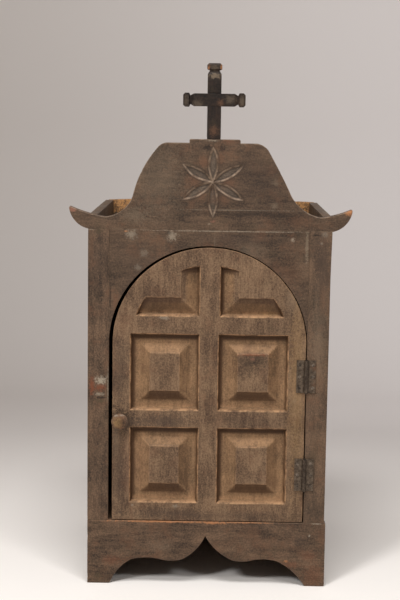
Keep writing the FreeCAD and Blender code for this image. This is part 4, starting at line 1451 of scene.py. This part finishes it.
def old_iron(name, low, high, marks=()):
    """Browned steel: mottled, with rust in the pits, half metal and rough."""
    iron = Finish(name)
    mottle = iron.noise(iron.place, 200.0, 6.0, 0.7)
    pits = iron.noise(iron.place, 700.0, 4.0, 0.7)
    colour = iron.mix(iron.band(mottle, 0.35, 0.65), low, high)
    colour = iron.mix(iron.band(pits, 0.5, 0.7, 0.0, 0.5), colour, RUST_IN_PITS)
    colour = paint_marks(iron, colour, marks)
    bump = iron.add("ShaderNodeBump", {"Height": pits, "Strength": 0.4,
                                       "Distance": 0.0003}).outputs[0]
    return iron.finish(colour, iron.band(mottle, 0.3, 0.7, 0.45, 0.65), bump, HALF_METAL)


pin_low, pin_high = span("upper_hinge_pin")
hinge_x = (pin_low[0] + pin_high[0]) / 2
leaf_marks = [
    mark(hinge_x, 342, 4, 40, SOOT_AND_SHADE, 0.6, front - BARREL),
    mark(hinge_x, 184, 4, 40, SOOT_AND_SHADE, 0.5, front - BARREL),
    mark(167, 356, 6, 5, WARM, 0.5),
    mark(166, 330, 5, 9, WARM, 0.4),
]
screw_marks = [
    mark(143, 362, 6, 8, SOOT_AND_SHADE, 0.6),
    mark(143, 322, 6, 8, SOOT_AND_SHADE, 0.8),
    mark(160, 342, 6, 7, SOOT_AND_SHADE, 0.4),
    mark(154, 164, 20, 8, SOOT_AND_SHADE, 0.6),
]
leaf_finish = old_iron("browned steel", shade(62, 52, 43), shade(104, 90, 76), leaf_marks)
screw_finish = old_iron("rubbed steel", shade(80, 70, 60), shade(136, 122, 108), screw_marks)
pin_finish = old_iron("dark steel", shade(36, 31, 28), shade(66, 57, 50))


def dress(piece, material):
    """Gives a piece one material in place of those it has."""
    piece.data.materials.clear()
    piece.data.materials.append(material)


for name, material in finishes.items():
    dress(bpy.data.objects[name], material)
for piece in screws:
    dress(piece, screw_finish)
for name, piece in nodes.items():
    if "hinge" in name:
        dress(piece, pin_finish if "pin" in name else leaf_finish)
print("finishes:", len(bpy.data.materials))

# %% [markdown]
# ## Floor, light and camera
#
# The object stands on a pale sheet that runs up into a wall behind it. Its paper is painted
# lighter in front and greyer up the wall, and the wall is painted darker to the left: a painted
# falloff of the lamps' light, which a gradient along the sheet gives. The sheet is clear where it
# is met from behind or below, so that it hides nothing from other sides.

# %% Floor and backdrop
NEAR = -6000.0
FAR = 1300.0
BEND = 700.0
WALL_TOP = 5000.0
HALF_SHEET = 9000.0


def backdrop():
    """A sheet along X with a profile of floor, quarter circle and wall: y = far + bend
    sin t and z = bend - bend cos t."""
    angle = np.linspace(0, np.pi / 2, 24)
    curve = np.stack([FAR + BEND * np.sin(angle), BEND - BEND * np.cos(angle)], 1)
    profile = np.concatenate([[[NEAR, 0]], curve, [[FAR + BEND, WALL_TOP]]])
    points = np.concatenate([np.insert(profile, 0, x, 1) for x in (-HALF_SHEET, HALF_SHEET)])
    ids = np.arange(len(profile))
    quads = np.stack([ids[:-1], ids[:-1] + len(profile), ids[1:] + len(profile), ids[1:]], 1)
    mesh = bpy.data.meshes.new("paper")
    mesh.from_pydata(points * MM, [], quads.tolist())
    mesh.polygons.foreach_set("use_smooth", np.ones(len(mesh.polygons), bool))
    sheet = bpy.data.objects.new("paper", mesh)
    bpy.context.scene.collection.objects.link(sheet)
    return sheet


paper = backdrop()
sheet = Finish("pale paper")
sides = sheet.add("ShaderNodeSeparateXYZ", {0: sheet.place}).outputs
# painted falloff of the lamps' light: the floor lighter in front, the wall greyer and darker to
# the left
behind = sheet.band(sides[1], -0.3, 1.3)
painted_light_rightward = sheet.band(sides[0], -1.0, 1.0)
wall = sheet.mix(painted_light_rightward, shade(184, 177, 172), shade(216, 210, 208))
paper_painted_falloff = sheet.mix(behind, shade(240, 235, 230), wall)
rays = sheet.add("ShaderNodeLightPath").outputs
seen = sheet.maths("MAXIMUM", rays["Is Camera Ray"], rays["Is Glossy Ray"])
seen = sheet.maths("MAXIMUM", seen, rays["Is Transmission Ray"])
gain = sheet.maths("ADD", sheet.maths("MULTIPLY", seen, 0.2), 1.0)
brighter = sheet.add("ShaderNodeVectorMath", {0: paper_painted_falloff, "Scale": gain}, operation="SCALE")
matt = sheet.add("ShaderNodeBsdfDiffuse", {"Color": brighter.outputs[0]})
clear = sheet.add("ShaderNodeBsdfTransparent")
from_behind = sheet.add("ShaderNodeNewGeometry").outputs["Backfacing"]
one_sided = sheet.add("ShaderNodeMixShader", {0: from_behind, 1: matt.outputs[0],
                                              2: clear.outputs[0]})
paper.data.materials.append(sheet.done(one_sided))
print("the paper is %.0f m wide" % (2 * HALF_SHEET * MM))

# %% [markdown]
# ## Lamps
#
# The shadows in the photo are soft and fall to both sides, so a sun would be wrong. Two
# soft boxes stand in front, the left one stronger, and a third lamp hangs over the
# altar. So faces that look up are bright and the tops of the recesses fall into shadow.

# %% Lamps
def lamp(name, place, target, width, height, power):
    """A rectangular area lamp that looks from one point to another."""
    light = bpy.data.lights.new(name, "AREA")
    light.shape = "RECTANGLE"
    light.size = width
    light.size_y = height
    light.energy = power
    fitting = bpy.data.objects.new(name, light)
    fitting.location = place
    look = Vector(target) - Vector(place)
    fitting.rotation_euler = look.to_track_quat("-Z", "Y").to_euler()
    bpy.context.scene.collection.objects.link(fitting)
    print("%s: %.0f W from %.1f m away" % (name, power, look.length))


lamp("left soft box", (-1.5, -2.6, 2.5), (0, 0, 0.35), 0.6, 0.6, 47)
lamp("right soft box", (1.6, -2.6, 2.5), (0, 0, 0.35), 0.6, 0.6, 21)
lamp("overhead", (-0.1, -1.3, 3.0), (0, 0, 0.3), 1.4, 0.8, 51)

# %% [markdown]
# ## The room's own light
#
# A pale room fills the shadows a little. If it were as bright as it looks, the shadows
# would be gone. So rays that light things meet a dim room, and rays that see it,
# straight, in a reflection or through something clear, meet a brighter one.

# %% The room
DIM = 0.25
SEEN = 0.4
world = bpy.data.worlds.new("room")
bpy.context.scene.world = world
world.use_nodes = True
room = world.node_tree
sky = room.nodes["Background"]
sky.inputs["Color"].default_value = shade(214, 208, 202)
path = room.nodes.new("ShaderNodeLightPath")
strength = None
for ray in ("Is Camera Ray", "Is Glossy Ray", "Is Transmission Ray"):
    total = room.nodes.new("ShaderNodeMath")
    total.operation = "MULTIPLY_ADD"
    total.inputs[1].default_value = SEEN
    total.inputs[2].default_value = DIM
    room.links.new(path.outputs[ray], total.inputs[0])
    if strength:
        room.links.new(strength, total.inputs[2])
    strength = total.outputs[0]
room.links.new(strength, sky.inputs["Strength"])
print("the room shines %.2f, and %.2f where it is seen" % (DIM, DIM + SEEN))

# %% [markdown]
# ## Camera
#
# The photograph was taken with a long lens from a little above the door. Its place and
# turn were solved from the frame's corners and the tray behind the crest, and are
# written here as a turn about the vertical, a tilt and a roll.

# %% Camera
CAMERA = np.array([0.0059, -2.3633, 0.7592])
YAW = -0.0094
PITCH = 0.1353
ROLL = 0.0134
FOCAL_PIXELS = 1416.16
PHOTO_HEIGHT = 600
SENSOR = 36.0

forward = np.array([math.sin(YAW) * math.cos(PITCH), math.cos(YAW) * math.cos(PITCH),
                    -math.sin(PITCH)])
sideways = np.array([math.cos(YAW), -math.sin(YAW), 0])
upward = np.cross(sideways, forward)
right = math.cos(ROLL) * sideways + math.sin(ROLL) * upward
upward = -math.sin(ROLL) * sideways + math.cos(ROLL) * upward
camera_data = bpy.data.cameras.new("camera")
camera_data.sensor_fit = "VERTICAL"
camera_data.sensor_height = SENSOR
camera_data.lens = FOCAL_PIXELS / PHOTO_HEIGHT * SENSOR
camera = bpy.data.objects.new("camera", camera_data)
pose = np.eye(4)
pose[:3] = np.stack([right, upward, -forward, CAMERA], 1)
camera.matrix_world = Matrix(pose.tolist())
bpy.context.scene.collection.objects.link(camera)
bpy.context.scene.camera = camera
bpy.context.scene.view_settings.view_transform = "Standard"
print("camera %.2f m from the front" % (front * MM - CAMERA[1]))
